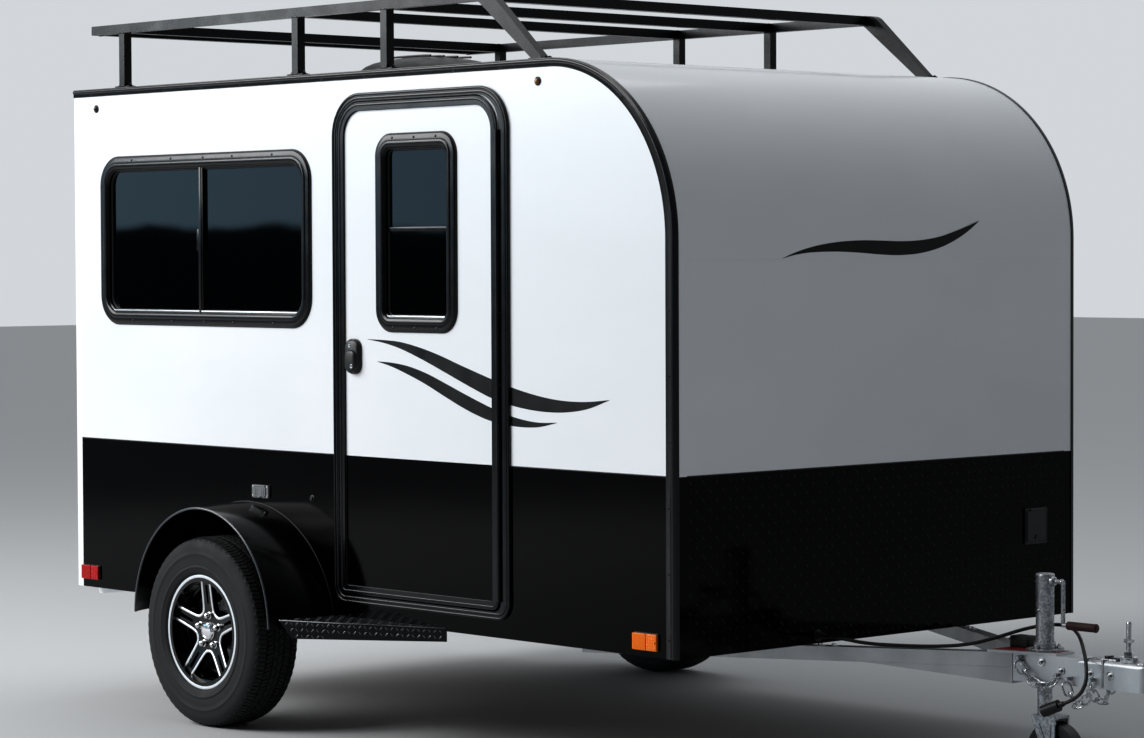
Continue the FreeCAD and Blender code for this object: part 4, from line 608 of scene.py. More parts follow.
    def weld(self, face: Face, low: Pair, high: Pair, out: float = 0.0, size: float = 2.6) -> None:
        """Lays a weld bead round a rectangle on a face."""
        self.tube(face.line(rounded(low, high, size * 1.3, steps=3), out), size, 6, closed=True)

    def lozenges(self, face: Face, area: Outline, pitch: float, size: Triple = (12, 3.4, 1.3)) -> None:
        """Raises the bars of tread plate over an area, each second one turned a quarter.

        Args:
            face: The plate's face.
            area: The area's corners, turning left.
            pitch: The distance between bars.
            size: A bar's half length, half width and height.
        """
        long, wide, high = size
        lows, highs = ([limit(point[i] for point in area) for i in (0, 1)] for limit in (min, max))
        edges = list(zip(area, area[1:] + area[:1]))
        for row in range(int((highs[1] - lows[1]) / pitch) + 1):
            for column in range(int((highs[0] - lows[0]) / pitch) + 1):
                u, v = lows[0] + pitch * (column + 0.5), lows[1] + pitch * (row + 0.5)
                room = min(((b[0] - a[0]) * (v - a[1]) - (b[1] - a[1]) * (u - a[0])) / dist(a, b) for a, b in edges)
                if room < long * 0.8:
                    continue
                turn = radians(45 if (row + column) % 2 else -45)
                along, beside = (cos(turn), sin(turn)), (-sin(turn), cos(turn))
                rings = []
                for tip, waist, edge, out in ((long, long * 0.5, wide, -0.2),
                                              (long * 0.62, long * 0.36, wide * 0.4, high)):
                    shape = [(tip, 0), (waist, edge), (-waist, edge), (-tip, 0), (-waist, -edge), (waist, -edge)]
                    rings.append(self.ring(face.line([(u + along[0] * a + beside[0] * b,
                                                       v + along[1] * a + beside[1] * b) for a, b in shape], out)))
                self.loft(rings)

    def piece(self, finish: Finish, slot: str, ride: Ride = Ride.TRAILER, sharp: float = 32.0) -> bpy.types.Object:
        """Turns the shapes into one object that moves with a body.

        Args:
            finish: Its finish.
            slot: Not used.
            ride: The body that carries it.
            sharp: Edges above this angle, in degrees, stay crisp.

        Returns:
            The object.
        """
        bmesh.ops.recalc_face_normals(self.mesh, faces=self.mesh.faces)
        for vert in self.mesh.verts:
            vert.co = place(vert.co)
        data = bpy.data.meshes.new(self.name)
        self.mesh.to_mesh(data)
        self.mesh.free()
        data.shade_smooth()
        data.set_sharp_from_angle(angle=radians(sharp))
        data.materials.append(finish.material())
        made = show(self.name, data)
        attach(made, ride.value)
        log.info("%s: %d faces on %s", self.name, len(data.polygons), ride.value)
        return made


@dataclass
class Studio:
    """The photo's camera, a pale floor and soft light."""

    focal: float = 3287.2
    eye: Triple = (10783, -8246.8, 1708.2)
    yaw: float = 0.8287
    pitch: float = 0.03488
    roll: float = -0.00406
    pale_side: Triple = (-0.72, 0.65, 0.24)
    glass_side: Triple = (-0.74, -0.67, 0)
    exposure: float = 0.12
    gamma: float = 0.84
    floor_half: float = 60.0
    sky: float = 0.78
    # Each light's name, kind, width in degrees or metres, power and place in metres.
    lamps: tuple[tuple[str, str, float, float, Triple], ...] = (
        ("studio_key", "SUN", 24.0, 0.9, (-3.0, -7.6, 6.4)),
        ("studio_rear_panel", "AREA", 6.0, 900.0, (-7.0, -7.4, 5.6)),
        ("studio_wash", "AREA", 6.0, 120.0, (-2.0, 1.5, 8.5)))

    def camera(self) -> None:
        """Places the camera where the photo was taken from."""
        ahead = at(-sin(self.yaw) * cos(self.pitch), cos(self.yaw) * cos(self.pitch), -sin(self.pitch))
        right = at(cos(self.yaw), sin(self.yaw), 0)
        up = right.cross(ahead)
        turn = Matrix((right, up, -ahead)).transposed() @ Matrix.Rotation(self.roll, 3, "Z")
        data = bpy.data.cameras.new("photo_camera")
        data.sensor_width = SENSOR
        data.lens = self.focal / PHOTO_WIDTH * SENSOR
        data.clip_end = 200
        # A straight tone curve with a little more contrast: deep gloss blacks beside clean white gelcoat.
        tones = bpy.context.scene.view_settings
        tones.view_transform = "Standard"
        tones.exposure, tones.gamma = self.exposure, self.gamma
        eye = show("photo_camera", data)
        eye.matrix_world = Matrix.Translation(place(Vector(self.eye))) @ turn.to_4x4()
        bpy.context.scene.camera = eye

    def floor(self) -> None:
        """A pale floor that runs past every view."""
        mesh = bmesh.new()
        bmesh.ops.create_grid(mesh, x_segments=1, y_segments=1, size=self.floor_half)
        data = bpy.data.meshes.new("studio_floor")
        mesh.to_mesh(data)
        mesh.free()
        data.materials.append(Finish("studio_floor_pale", "#b6b7b8", roughness=0.9, ior=1.2).material())
        show("studio_floor", data)

    def horizon(self, tree: Tree, around: Socket, base: Socket) -> Socket:
        """Puts a low strip of sky over dark ground far off on the entry side, for the side glass to mirror.

        Args:
            tree: The world's node tree.
            around: The direction of each ray.
            base: The surround's colour.

        Returns:
            The colour with the strip in it.
        """
        facing = add(tree, "VectorMath", {0: around, 1: self.glass_side}, operation="DOT_PRODUCT")
        sector = add(tree, "MapRange", {"Value": facing.outputs["Value"], "From Min": 0.86, "From Max": 0.94})
        rise = add(tree, "SeparateXYZ", {"Vector": around}).outputs["Z"]
        low = add(tree, "MapRange", {"Value": rise, "From Min": 0.3, "From Max": 0.06})
        share = add(tree, "Math", {0: sector.outputs["Result"], 1: low.outputs["Result"]}, operation="MULTIPLY")
        trees = add(tree, "TexNoise", {"Vector": around, "Scale": 55, "Detail": 3}).outputs["Fac"]
        ragged = add(tree, "Math", {0: trees, 1: 0.006, 2: rise}, operation="MULTIPLY_ADD")
        sky = add(tree, "MapRange", {"Value": ragged.outputs["Value"], "From Min": 0.0102, "From Max": 0.0132},
                  interpolation_type="SMOOTHSTEP")
        bright = tuple(2.3 * value for value in colour("#9dc2da"))
        strip = add(tree, "Mix", {0: sky.outputs["Result"], 6: colour("#1a1c1b"), 7: bright}, data_type="RGBA")
        mixed = add(tree, "Mix", {0: share.outputs["Value"], 6: base, 7: strip.outputs[2]}, data_type="RGBA")
        return mixed.outputs[2]

    def lights(self) -> None:
        """A soft key on the entry side that fades forwards, a wash from above and a graded surround."""
        world = bpy.data.worlds.new("studio_world")
        world.use_nodes = True
        tree = world.node_tree
        around = add(tree, "TexCoord").outputs["Generated"]
        share = add(tree, "VectorMath", {0: around, 1: self.pale_side}, operation="DOT_PRODUCT")
        shade = add(tree, "MapRange", {"Value": share.outputs["Value"], "From Min": -1, "From Max": 1},
                    interpolation_type="SMOOTHSTEP")
        tint = add(tree, "Mix", {0: shade.outputs["Result"], 6: colour("#33383e"), 7: colour("#e9edf1")},
                   data_type="RGBA")
        backdrop = tree.nodes["Background"]
        tree.links.new(self.horizon(tree, around, tint.outputs[2]), backdrop.inputs["Color"])
        backdrop.inputs["Strength"].default_value = self.sky
        bpy.context.scene.world = world
        for name, kind, size, energy, spot in self.lamps:
            data = bpy.data.lights.new(name, kind)
            if kind == "SUN":
                data.angle = radians(size)
            else:
                data.size = size
            data.energy = energy
            lamp = show(name, data)
            lamp.location = spot
            lamp.rotation_euler = (-Vector(spot)).to_track_quat("-Z", "Y").to_euler()


BEAD: Outline = [(-1, 0), (-0.9, 0.5), (-0.5, 0.9), (0, 1), (0.5, 0.9), (0.9, 0.5), (1, 0)]


def bead(half: float, height: float, base: float = 0.0) -> Outline:
    """A half-round section of that half width and height, on a base out of the plane."""
    return [(u * half, base - 0.4 if v == 0 else base + v * height) for u, v in BEAD]


@dataclass
class RoadWheel:
    """One wheel: its tyre, the bright cuts of its rim, its nuts, cap and valve."""

    word: str
    side: int
    ride: Ride
    station: float = 1116.0
    reach: float = 1120.5
    radius: float = 344.5
    pitches: int = 66
    disc: float = 70.0
    hub: float = 56.0
    hub_radius: float = 72.0
    seat: float = 188.0
    windows: float = 182.0
    spokes: int = 5
    lip: float = 208.3
    studs: float = 57.15
    chamfer: float = 0.9
    chamfer_turn: float = 0.16

    def point(self, radius: float, turn: float, out: float) -> Vector:
        """A point at a radius, at a turn in degrees up from forwards, and out of the wheel's middle."""
        angle = radians(turn)
        return at(self.station + radius * cos(angle), self.side * (self.reach + out),
                  self.radius + radius * sin(angle))

    @property
    def centre(self) -> Vector:
        """The wheel's middle."""
        return self.point(0, 0, 0)

    @property
    def axis(self) -> Vector:
        """The direction out of the trailer."""
        return Y * self.side

    def chunk(self, mould: Mould, turns: Pair, outs: Pair,
              heights: tuple[float, float, float, float], skew: float = 0.0) -> None:
        """Adds one block of the tread.

        Args:
            mould: The tyre's shapes.
            turns: The block's start and end, in degrees.
            outs: Its sides, out of the wheel's middle.
            heights: The radius of its foot and of its top, at each side.
            skew: How far its far side is turned on, in degrees.
        """
        rings = []
        for foot, inset in ((True, 0), (False, self.chamfer)):
            ring = []
            for column, row in ((0, 0), (0, 1), (1, 1), (1, 0)):
                out = outs[row] + (inset if row == 0 else -inset) * (1 if outs[1] > outs[0] else -1)
                turned = self.chamfer_turn if column == 0 else -self.chamfer_turn
                turn = turns[column] + turned * (inset > 0) + skew * row
                ring.append(self.point(heights[row if foot else row + 2], turn, out))
            rings.append(mould.ring(ring))
        mould.skin(rings)
        mould.mesh.faces.new(rings[1])

    def tyre(self) -> None:
        """Turns the carcass and cuts its tread into ribs and blocks."""
        half = [(70, 208.5), (88.6, 208.9), (92, 211), (96.5, 217), (99.5, 225), (101, 231), (102.9, 233.5),
                (103.4, 237), (102.9, 240.5), (101.2, 242.5), (101.9, 252), (102.4, 266), (102.5, 281),
                (103.3, 282.5), (103.3, 285.5), (102.4, 287), (101.6, 300), (99.6, 312), (96, 322),
                (91.5, 329.5), (86.5, 334.5), (80, 336.8), (40, 336.9)]
        profile = [(-out, r) for out, r in half] + [(out, r) for out, r in reversed(half)]
        mould = Mould(f"tyre_{self.word}_treaded")
        mould.lathe(self.centre, self.axis, profile, sides=144, closed=True)
        step, foot, top = 360 / self.pitches, 336, self.radius - 0.2
        for pitch in range(self.pitches):
            start = pitch * step
            for sign in (-1, 1):
                shift = start + (step / 2 if sign > 0 else 0)
                for first, last in ((0, 0.43), (0.49, 0.86)):
                    ends = (shift + step * first, shift + step * last)
                    self.chunk(mould, ends, (sign * 56, sign * 86), (foot, 333, top, 337.5), 0.5)
                    self.chunk(mould, ends, (sign * 25, sign * 49), (foot, foot, top, top - 0.4), -1.6)
                self.chunk(mould, (shift, shift + step * 0.9), (sign * 1.2, sign * 18), (foot, foot, top, top), 2.2)
                lug = shift + step * 0.2
                self.chunk(mould, (lug, lug + step * 0.45), (sign * 87, sign * 98.5), (332, 316, 336, 318.5))
        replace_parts(mould.piece(TYRE, "tyre_rubber", self.ride, sharp=38), f"tyre_{self.word}")
        ribs = Mould(f"tyre_{self.word}_sidewall_ribs")
        for index in range(180):
            self.chunk(ribs, (index * 2, index * 2 + 0.7), (101.4, 102.6), (262, 262, 274, 274))
        ribs.piece(TYRE, "tyre_rubber", self.ride)

    def face(self, radius: float) -> float:
        """How far out the disc's dished face lies at a radius."""
        share = (radius - self.hub_radius) / (self.seat - self.hub_radius)
        return self.hub + (self.disc - self.hub) * min(max(share, 0), 1)

    def cuts(self) -> None:
        """The bright cut edges: a ring at the rim's lip and a rib round each window's spokes."""
        mould = Mould(f"rim_{self.word}_bright_cuts")
        mould.lathe(self.centre, self.axis, [(78, 193), (86, 194.6), (89.8, 198), (90.6, 203.5),
                                             (90, 207.6), (88.4, self.lip), (78, self.lip)], 120, closed=True)
        half = [(0, 0.395), (0.07, 0.4), (0.155, 0.462), (0.455, 0.852), (0.512, 0.925)]
        shares = [(-u, v) for u, v in reversed(half[1:])] + half
        for spoke in range(self.spokes):
            turn = 90 + 360 / self.spokes * (spoke + 0.5)
            rounded_path = self.bend([(u * self.windows, v * self.windows) for u, v in shares], 26)
            path = []
            for across, along in rounded_path:
                radius = hypot(across, along)
                bearing = turn - degrees(atan2(across, along))
                path.append(self.point(radius, bearing, self.face(radius)))
            mould.sweep(path, [(-5, -0.6), (-4.2, 2), (-1.6, 3), (1.6, 3), (4.2, 2), (5, -0.6)], self.axis)
        mould.piece(CUT_ALLOY, "alloy", self.ride)

    @staticmethod
    def bend(points: Outline, radius: float) -> Outline:
        """Rounds the inner corners of an open line."""
        line = [points[0]]
        for before, here, after in zip(points, points[1:], points[2:]):
            corner = Vector(here)
            sides = [Vector(before) - corner, Vector(after) - corner]
            start, end = (corner + side.normalized() * min(radius, side.length / 2) for side in sides)
            for step in range(5):
                share = step / 4
                line.append(tuple(start * (1 - share) ** 2 + corner * (2 * share * (1 - share)) + end * share ** 2))
        return line + [points[-1]]

    def fittings(self) -> None:
        """The centre cap, five nuts in their seats, and the valve."""
        mould = Mould(f"rim_{self.word}_cap_and_nuts")
        cap = [(self.hub, 34), (self.hub + 3, 34), (self.hub + 5, 32), (self.hub + 11, 30.8),
               (self.hub + 14.4, 27), (self.hub + 15.2, 21), (self.hub + 14.6, 20),
               (self.hub + 15.6, 10), (self.hub + 15.8, 1)]
        mould.lathe(self.centre, self.axis, cap, 48)
        for spoke in range(self.spokes):
            seat = self.point(self.studs, 90 + 360 / self.spokes * spoke, self.hub)
            mould.lathe(seat, self.axis, [(-0.4, 13.5), (0.8, 13.5), (1.6, 12.2)], 24)
            mould.lathe(seat, self.axis, [(0.5, 11.4), (11, 11.4), (14, 10.4)], 6)
            mould.lathe(seat, self.axis, [(13, 9.6), (17, 8.4), (19.5, 5.4), (20.4, 1.2)], 20)
        mould.piece(CHROME, "alloy", self.ride)
        valve = Mould(f"rim_{self.word}_valve")
        spot = self.point(181, 90 + 40, self.face(181) - 1)
        lean = (self.axis + (self.centre - spot).normalized() * 0.25).normalized()
        valve.lathe(spot, lean, [(-4, 5.6), (3, 5.6), (5, 4), (16, 3.6), (17, 4.4), (24, 4.4), (25, 3)], 16)
        valve.piece(SEAL, "tyre_rubber", self.ride)

    def build(self) -> None:
        """Builds the whole wheel."""
        self.tyre()
        self.cuts()
        self.fittings()


@dataclass
class SafetyChains:
    """Round-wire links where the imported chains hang, with a weld on each."""

    wire: float = 3.5
    straight: float = 9.0
    turn_radius: float = 13.5
    passes: int = 60

    def islands(self, solid: bpy.types.Object) -> list[np.ndarray]:
        """The corners of each separate link, in millimetres of the trailer."""
        data = solid.data
        points = np.empty(len(data.vertices) * 3)
        data.vertices.foreach_get("co", points)
        points = points.reshape(-1, 3) * METRE - np.array([REAR_FACE, 0, 0])
        _, groups = np.unique(np.round(points, 2), axis=0, return_inverse=True)
        groups = groups.reshape(-1)
        edges = np.empty(len(data.edges) * 2, int)
        data.edges.foreach_get("vertices", edges)
        labels = np.arange(groups.max() + 1)
        pairs = groups[edges.reshape(-1, 2)]
        for _ in range(self.passes):
            before = labels.copy()
            low = np.minimum(labels[pairs[:, 0]], labels[pairs[:, 1]])
            np.minimum.at(labels, pairs[:, 0], low)
            np.minimum.at(labels, pairs[:, 1], low)
            if (labels == before).all():
                break
        marks = labels[groups]
        return [np.unique(np.round(points[marks == mark], 2), axis=0) for mark in np.unique(marks)]

    def build(self, solid: bpy.types.Object) -> None:
        """Hangs a round link on each packed one's long and flat axes."""
        mould = Mould("chain_round_links")
        for corners in self.islands(solid):
            middle = corners.mean(axis=0)
            _, _, axes = np.linalg.svd(corners - middle)
            along, across = Vector(axes[0]), Vector(axes[1])
            path = []
            for end, first in ((1, -90), (-1, 90)):
                for step in range(9):
                    turn = radians(first + 180 * step / 8)
                    path.append(Vector(middle) + along * (end * self.straight + self.turn_radius * cos(turn))
                                + across * (self.turn_radius * sin(turn)))
            mould.tube(path, self.wire, 10, closed=True)
            weld = Vector(middle) + across * self.turn_radius
            mould.lathe(weld - along * 1.6, along, [(0, 3.4), (0.6, 4.1), (2.6, 4.1), (3.2, 3.4)], 12)
        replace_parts(mould.piece(BRIGHT_ZINC, "zinc_steel", sharp=50), "safety_chains")


@dataclass
class ShellTrim:
    """What is fixed on the body's outside: vinyl stripes, corner extrusions, seams and rivets."""

    film: float = 0.35
    film_back: float = 0.05
    stripe_rows: int = 60
    proud: float = 3.0
    drop: float = 26.0
    width: float = 45.0
    top_leg: float = 11.0
    front_half: float = 940.0
    rivet: Triple = (2.6, 1.4, 10)

    def stripe(self, name: str, face: Face, edges: list[tuple], ride: Ride, between: Pair) -> None:
        """Lays one cut vinyl stripe on a face.

        Args:
            name: The piece's name.
            face: The face that it lies on.
            edges: Places across, each with the height of its upper and of its lower edge.
            ride: The body that carries it.
            between: The part of its length that lies on that body.
        """
        start, end = max(between[0], edges[0][0]), min(between[1], edges[-1][0])
        mould, rings = Mould(name), []
        for step in range(self.stripe_rows + 1):
            across = start + (end - start) * step / self.stripe_rows
            high, low = (self.height([(row[0], row[side]) for row in edges], across) for side in (1, 2))
            if high - low < 0.6:
                high, low = high + 0.3, low - 0.3
            corners = ((low, self.film_back), (low, self.film), (high, self.film), (high, self.film_back))
            rings.append(mould.ring([face.point(across, up, out) for up, out in corners]))
        mould.loft(rings)
        mould.piece(VINYL, "black_trim", ride)

    @staticmethod
    def height(edge: Outline, across: float) -> float:
        """The height of a stripe's edge at a place across, on a smooth line through its points."""
        index = max(i for i in range(len(edge) - 1) if edge[i][0] <= across + 0.001)
        here, there = edge[index], edge[index + 1]
        before, after = edge[max(index - 1, 0)], edge[min(index + 2, len(edge) - 1)]
        share = (across - here[0]) / (there[0] - here[0])
        rise = [(q[1] - p[1]) / max(q[0] - p[0], 1) * (there[0] - here[0])
                for p, q in ((before, there), (here, after))]
        square, cube = share ** 2, share ** 3
        return (here[1] * (2 * cube - 3 * square + 1) + rise[0] * (cube - 2 * square + share)
                + there[1] * (3 * square - 2 * cube) + rise[1] * (cube - square))

    def stripes(self) -> None:
        """Two sweeps on each side, across the door on the right, and one on the front."""
        long = [(1808, 1414, 1413), (1898, 1412, 1402), (1986, 1407, 1384), (2094, 1389, 1352), (2200, 1364, 1316),
                (2305, 1334, 1279), (2408, 1306, 1244), (2464, 1291, 1227), (2561, 1267, 1206), (2661, 1247, 1193),
                (2759, 1233, 1188), (2847, 1227, 1191), (2944, 1228, 1205), (3046, 1237, 1236)]
        short = [(1862, 1337, 1336), (1941, 1334, 1320), (2028, 1324, 1295), (2125, 1302, 1263), (2220, 1272, 1226),
                 (2325, 1237, 1187), (2407, 1211, 1162), (2464, 1194, 1149), (2560, 1170, 1137), (2640, 1157, 1134),
                 (2710, 1152, 1138), (2793, 1155, 1154)]
        front = [(-502, 1693, 1692), (-443, 1711, 1703), (-380, 1726, 1710), (-308, 1738, 1713), (-219, 1747, 1713),
                 (-121, 1751, 1709), (-22, 1750, 1703), (78, 1748, 1701), (179, 1752, 1708), (274, 1764, 1726),
                 (351, 1782, 1751), (421, 1801, 1783), (478, 1818, 1817)]
        for word, edges in (("long", long), ("short", short)):
            self.stripe(f"stripe_{word}_door", RIGHT, edges, Ride.DOOR, (0, 2476))
            self.stripe(f"stripe_{word}_right", RIGHT, edges, Ride.TRAILER, (2564, LENGTH))
            self.stripe(f"stripe_{word}_left", LEFT, edges, Ride.TRAILER, (0, LENGTH))
        self.stripe("stripe_front", FRONT, front, Ride.TRAILER, (-LENGTH, LENGTH))

    def band(self, share: float) -> list[Vector]:
        """A line along the corner extrusion: over the roof, round the nose and down the front.

        Args:
            share: How far it lies from the extrusion's outer edge, 0, to its inner edge on the side, 1.

        Returns:
            The line's points on the trailer's middle.
        """
        roof = NOSE_RADIUS + self.proud - (self.proud + self.drop) * share
        front = NOSE_RADIUS + self.proud - (self.proud + self.width) * share
        line = [at(0, 0, NOSE_CENTRE.z + roof), at(1300, 0, NOSE_CENTRE.z + roof)]
        for step in range(37):
            turn = radians(90 - 90 * step / 36)
            line.append(NOSE_CENTRE + at(front * cos(turn), 0, roof * sin(turn)))
        return line + [at(NOSE_CENTRE.x + front, 0, FOOT)]

    def extrusions(self) -> None:
        """The black corner extrusions: a narrow leg on top, a round bead and a flat leg on the side."""
        section = [(0, -self.top_leg), (0, 1.2), (0.01, 2.3), (0.04, 3), (0.1, 3), (0.16, 5.2),
                   (0.25, 6.4), (0.36, 6.4), (0.45, 5.2), (0.5, 3), (0.93, 3), (1, 2), (1, -0.2),
                   (0.08, -0.2), (0.08, -self.top_leg)]
        lines = [self.band(share) for share, _ in section]
        mould = Mould("corner_extrusions")
        for sign in (-1, 1):
            rings = [mould.ring([at(line[index].x, sign * (HALF_WIDTH + out), line[index].z)
                                 for line, (_, out) in zip(lines, section)]) for index in range(len(lines[0]))]
            mould.loft(rings)
        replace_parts(mould.piece(TRIM, "black_trim", sharp=50), "corner_trims")

    def seams(self) -> None:
        """The lap of the roof sheet on the front, the waist bead, and the extrusions' rivets."""
        seam = Mould("front_sheet_lap")
        half = self.front_half
        seam.slab(FRONT, (-half, 1687.4, 0), (half, 1689, 0.5), 0.15)
        seam.piece(WHITE, "white_gelcoat")
        waist = Mould("waist_joint_bead")
        for face in (RIGHT, LEFT):
            spans = ((35, 1622), (2565, 3308)) if face is RIGHT else ((35, 3308),)
            for rear, front in spans:
                waist.sweep(face.line([(rear, WAIST), (front, WAIST)]), bead(2.2, 1.2), face.out)
        waist.sweep(FRONT.line([(-half, WAIST), (half, WAIST)]), bead(2.2, 1.2), X)
        waist.piece(SEAL, "black_trim")
        rivets = Mould("trim_rivets")
        for sign in (-1, 1):
            edge = sign * (HALF_WIDTH + self.proud)
            for station in range(120, 2760, 240):
                rivets.screw(at(station, edge, ROOF - 21.5), Y * sign, *self.rivet)
            for height in range(480, 1740, 210):
                rivets.screw(at(LENGTH - 34, edge, height), Y * sign, *self.rivet)
        rivets.piece(TRIM, "black_trim")

    def build(self) -> None:
        """Builds everything on the shell."""
        self.stripes()
        self.extrusions()
        self.seams()


@dataclass
class Glazing:
    """One framed window on one or both sides: its moulded frame, seals, screws and bright sill."""

    name: str
    node: str
    faces: tuple[Face, ...]
    ride: Ride
    low: Pair
    high: Pair
    radius: float
    screw_stations: tuple[float, ...]
    bar: float | None = None
    bar_level: float | None = None
    flange: float = 50.0
    depth: float = -12.0
    back: float = -38.0

    def loop(self, face: Face, inset: float, out: float) -> list[Vector]:
        """The frame's outline, inset from its outer edge, at a distance out of a face."""
        return face.line(rounded(self.low, self.high, max(self.radius - inset, 12), steps=10, inset=inset), out)

    def frame(self, mould: Mould, face: Face) -> None:
        """The frame: a flat flange, a round clamp ridge, the reveal through the wall, and its bars."""
        section = [(0, 0), (0, 6.4), (1.4, 8.8), (4, 10), (21, 10), (23.5, 12.6), (28, 13.6),
                   (36, 13.2), (42, 11.4), (45.5, 8), (46.5, 4), (50, 2), (50, self.back), (24, self.back), (24, 0)]
        mould.skin([mould.ring(self.loop(face, inset, out)) for inset, out in section], closed=True)
        if self.bar is not None:
            foot, top = self.low[1] + self.flange - 2, self.high[1] - self.flange + 2
            mould.slab(face, (self.bar - 13, foot, self.back), (self.bar + 13, top, 1), 1.5)
            mould.slab(face, (self.bar - 7, foot, 0), (self.bar + 7, top, 5), 2)
            middle = (foot + top) / 2
            mould.slab(face, (self.bar - 30, middle - 40, -10), (self.bar - 17, middle + 40, -3), 2)
        if self.bar_level is not None:
            mould.slab(face, (self.low[0] + self.flange - 2, self.bar_level - 7, -11),
                       (self.high[0] - self.flange + 2, self.bar_level + 7, -3), 1.5)

    def build(self) -> None:
        """Builds the window's pieces on every face that has it."""
        frame, seal = Mould(f"{self.name}_frame_moulded"), Mould(f"{self.name}_seals")
        sill, screws = Mould(f"{self.name}_bright_sill"), Mould(f"{self.name}_screws")
        inner = self.flange + 6
        for face in self.faces:
            self.frame(frame, face)
            seal.sweep(self.loop(face, -1.5, 0), bead(3, 4.2), face.out, closed=True)
            seal.sweep(self.loop(face, self.flange + 2.5, self.depth), bead(5, 5), face.out, closed=True)
            sill.slab(face, (self.low[0] + inner, self.low[1] + self.flange - 1, -11.5),
                      (self.high[0] - inner, self.low[1] + self.flange + 4, 4.5), 1)
            screws.screws(face, self.screw_stations, (self.low[1] + 12, self.high[1] - 12), 10, 4.2, 2.4, 10)
        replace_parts(frame.piece(TRIM, "black_trim", self.ride, sharp=40), self.node)
        seal.piece(SEAL, "black_trim", self.ride, sharp=50)
        sill.piece(ALUMINIUM_BRIGHT, "black_trim", self.ride)
        screws.piece(DARK_STEEL, "black_trim", self.ride)


@dataclass
class EntryDoor:
    """Ridges, seals and fittings of the entry door and the band round it."""

    low: Pair = (1656, 513)
    high: Pair = (2504, 2243)
    surround_low: Pair = (1623, 480)
    surround_high: Pair = (2564, 2276)
    proud: float = 8.0

    def surround(self) -> None:
        """Two raised ridges along the band on the wall, and the dark liner of the slot round the door."""
        ridges = Mould("door_surround_ridges")
        for inset, half, height in ((5.5, 4.5, 3.2), (18.5, 5.5, 2.4)):
            line = rounded(self.surround_low, self.surround_high, 150 - inset, 63 - inset, 10, inset)
            ridges.sweep(RIGHT.line(line, self.proud), bead(half, height), -Y, closed=True)
        ridges.piece(TRIM, "black_trim", sharp=50)
        liner = Mould("door_slot_liner")
        outer = rounded((1649, 506), (2526, 2250), 118, 30)
        inner = rounded((1651, 508), (2509.2, 2248), 110, 26)
        liner.skin([liner.ring(RIGHT.line(line, out)) for line, out in
                    ((outer, 0.2), (outer, 1.4), (inner, 1.4), (inner, 0.2))], closed=True)
        liner.piece(SEAL, "black_trim")

    def edge(self) -> None:
        """A ridge and a soft seal along the door's own edge."""
        ridge = Mould("door_edge_ridge")
        line = RIGHT.line(rounded(self.low, self.high, 108, 21, 10, 9), self.proud)
        ridge.sweep(line, bead(5, 2), -Y, closed=True)
        ridge.piece(TRIM, "black_trim", Ride.DOOR, sharp=50)
        seal = Mould("door_edge_seal")
        line = RIGHT.line(rounded(self.low, self.high, 92, 14, 10, 27))
        seal.sweep(line, bead(3, 3), -Y, closed=True)
        seal.piece(SEAL, "black_trim", Ride.DOOR, sharp=50)

    def handle(self) -> None:
        """The latch: a pebble-shaped body with its paddle, key barrel and screw."""
        body = Mould("door_handle_body")
        body.plate(RIGHT, rounded((1690, 1290), (1776, 1414), 34), 0, 5, 1)
        for low, high, radius, levels in (
                ((1692, 1292), (1774, 1412), 33, [(0, 4), (0, 9), (4, 14), (10, 17)]),
                ((1703, 1296), (1766, 1376), 26, [(0, 14), (1, 20), (5, 24.4), (12, 26.6)])):
            body.loft([body.ring(RIGHT.line(rounded(low, high, max(radius - inset, 6), inset=inset), out))
                       for inset, out in levels])
        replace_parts(body.piece(PLASTIC, "black_plastic", Ride.DOOR, sharp=50), "door_handle")
        bright = Mould("door_handle_barrel_and_screw")
        for across, up, out, radius in ((1726, 1389, 16.5, 6.4), (1748, 1318, 25.8, 8)):
            bright.lathe(RIGHT.point(across, up, out), -Y, [(-1, radius), (1.4, radius), (2.2, radius - 1),
                                                            (2, radius * 0.55), (1.2, radius * 0.5)], 24)
        bright.piece(CHROME, "zinc_steel", Ride.DOOR)

    def build(self) -> None:
        """Builds the door's fine pieces and its window's."""
        self.surround()
        self.edge()
        self.handle()
        Glazing("door_window", "door_window_frame", (RIGHT,), Ride.DOOR, (1864, 1444), (2291, 2126), 76,
                (1960, 2077, 2194), bar_level=1798).build()
        # A near-black sheet behind the lower door glass: painted shade.
        shade_sheet = Mould("door_window_shade_sheet")
        shade_sheet.slab(RIGHT, (1917, 1497, -24), (2238, 1792, -21))
        shade_sheet.piece(SHADE_SHEET, "black_trim", Ride.DOOR)


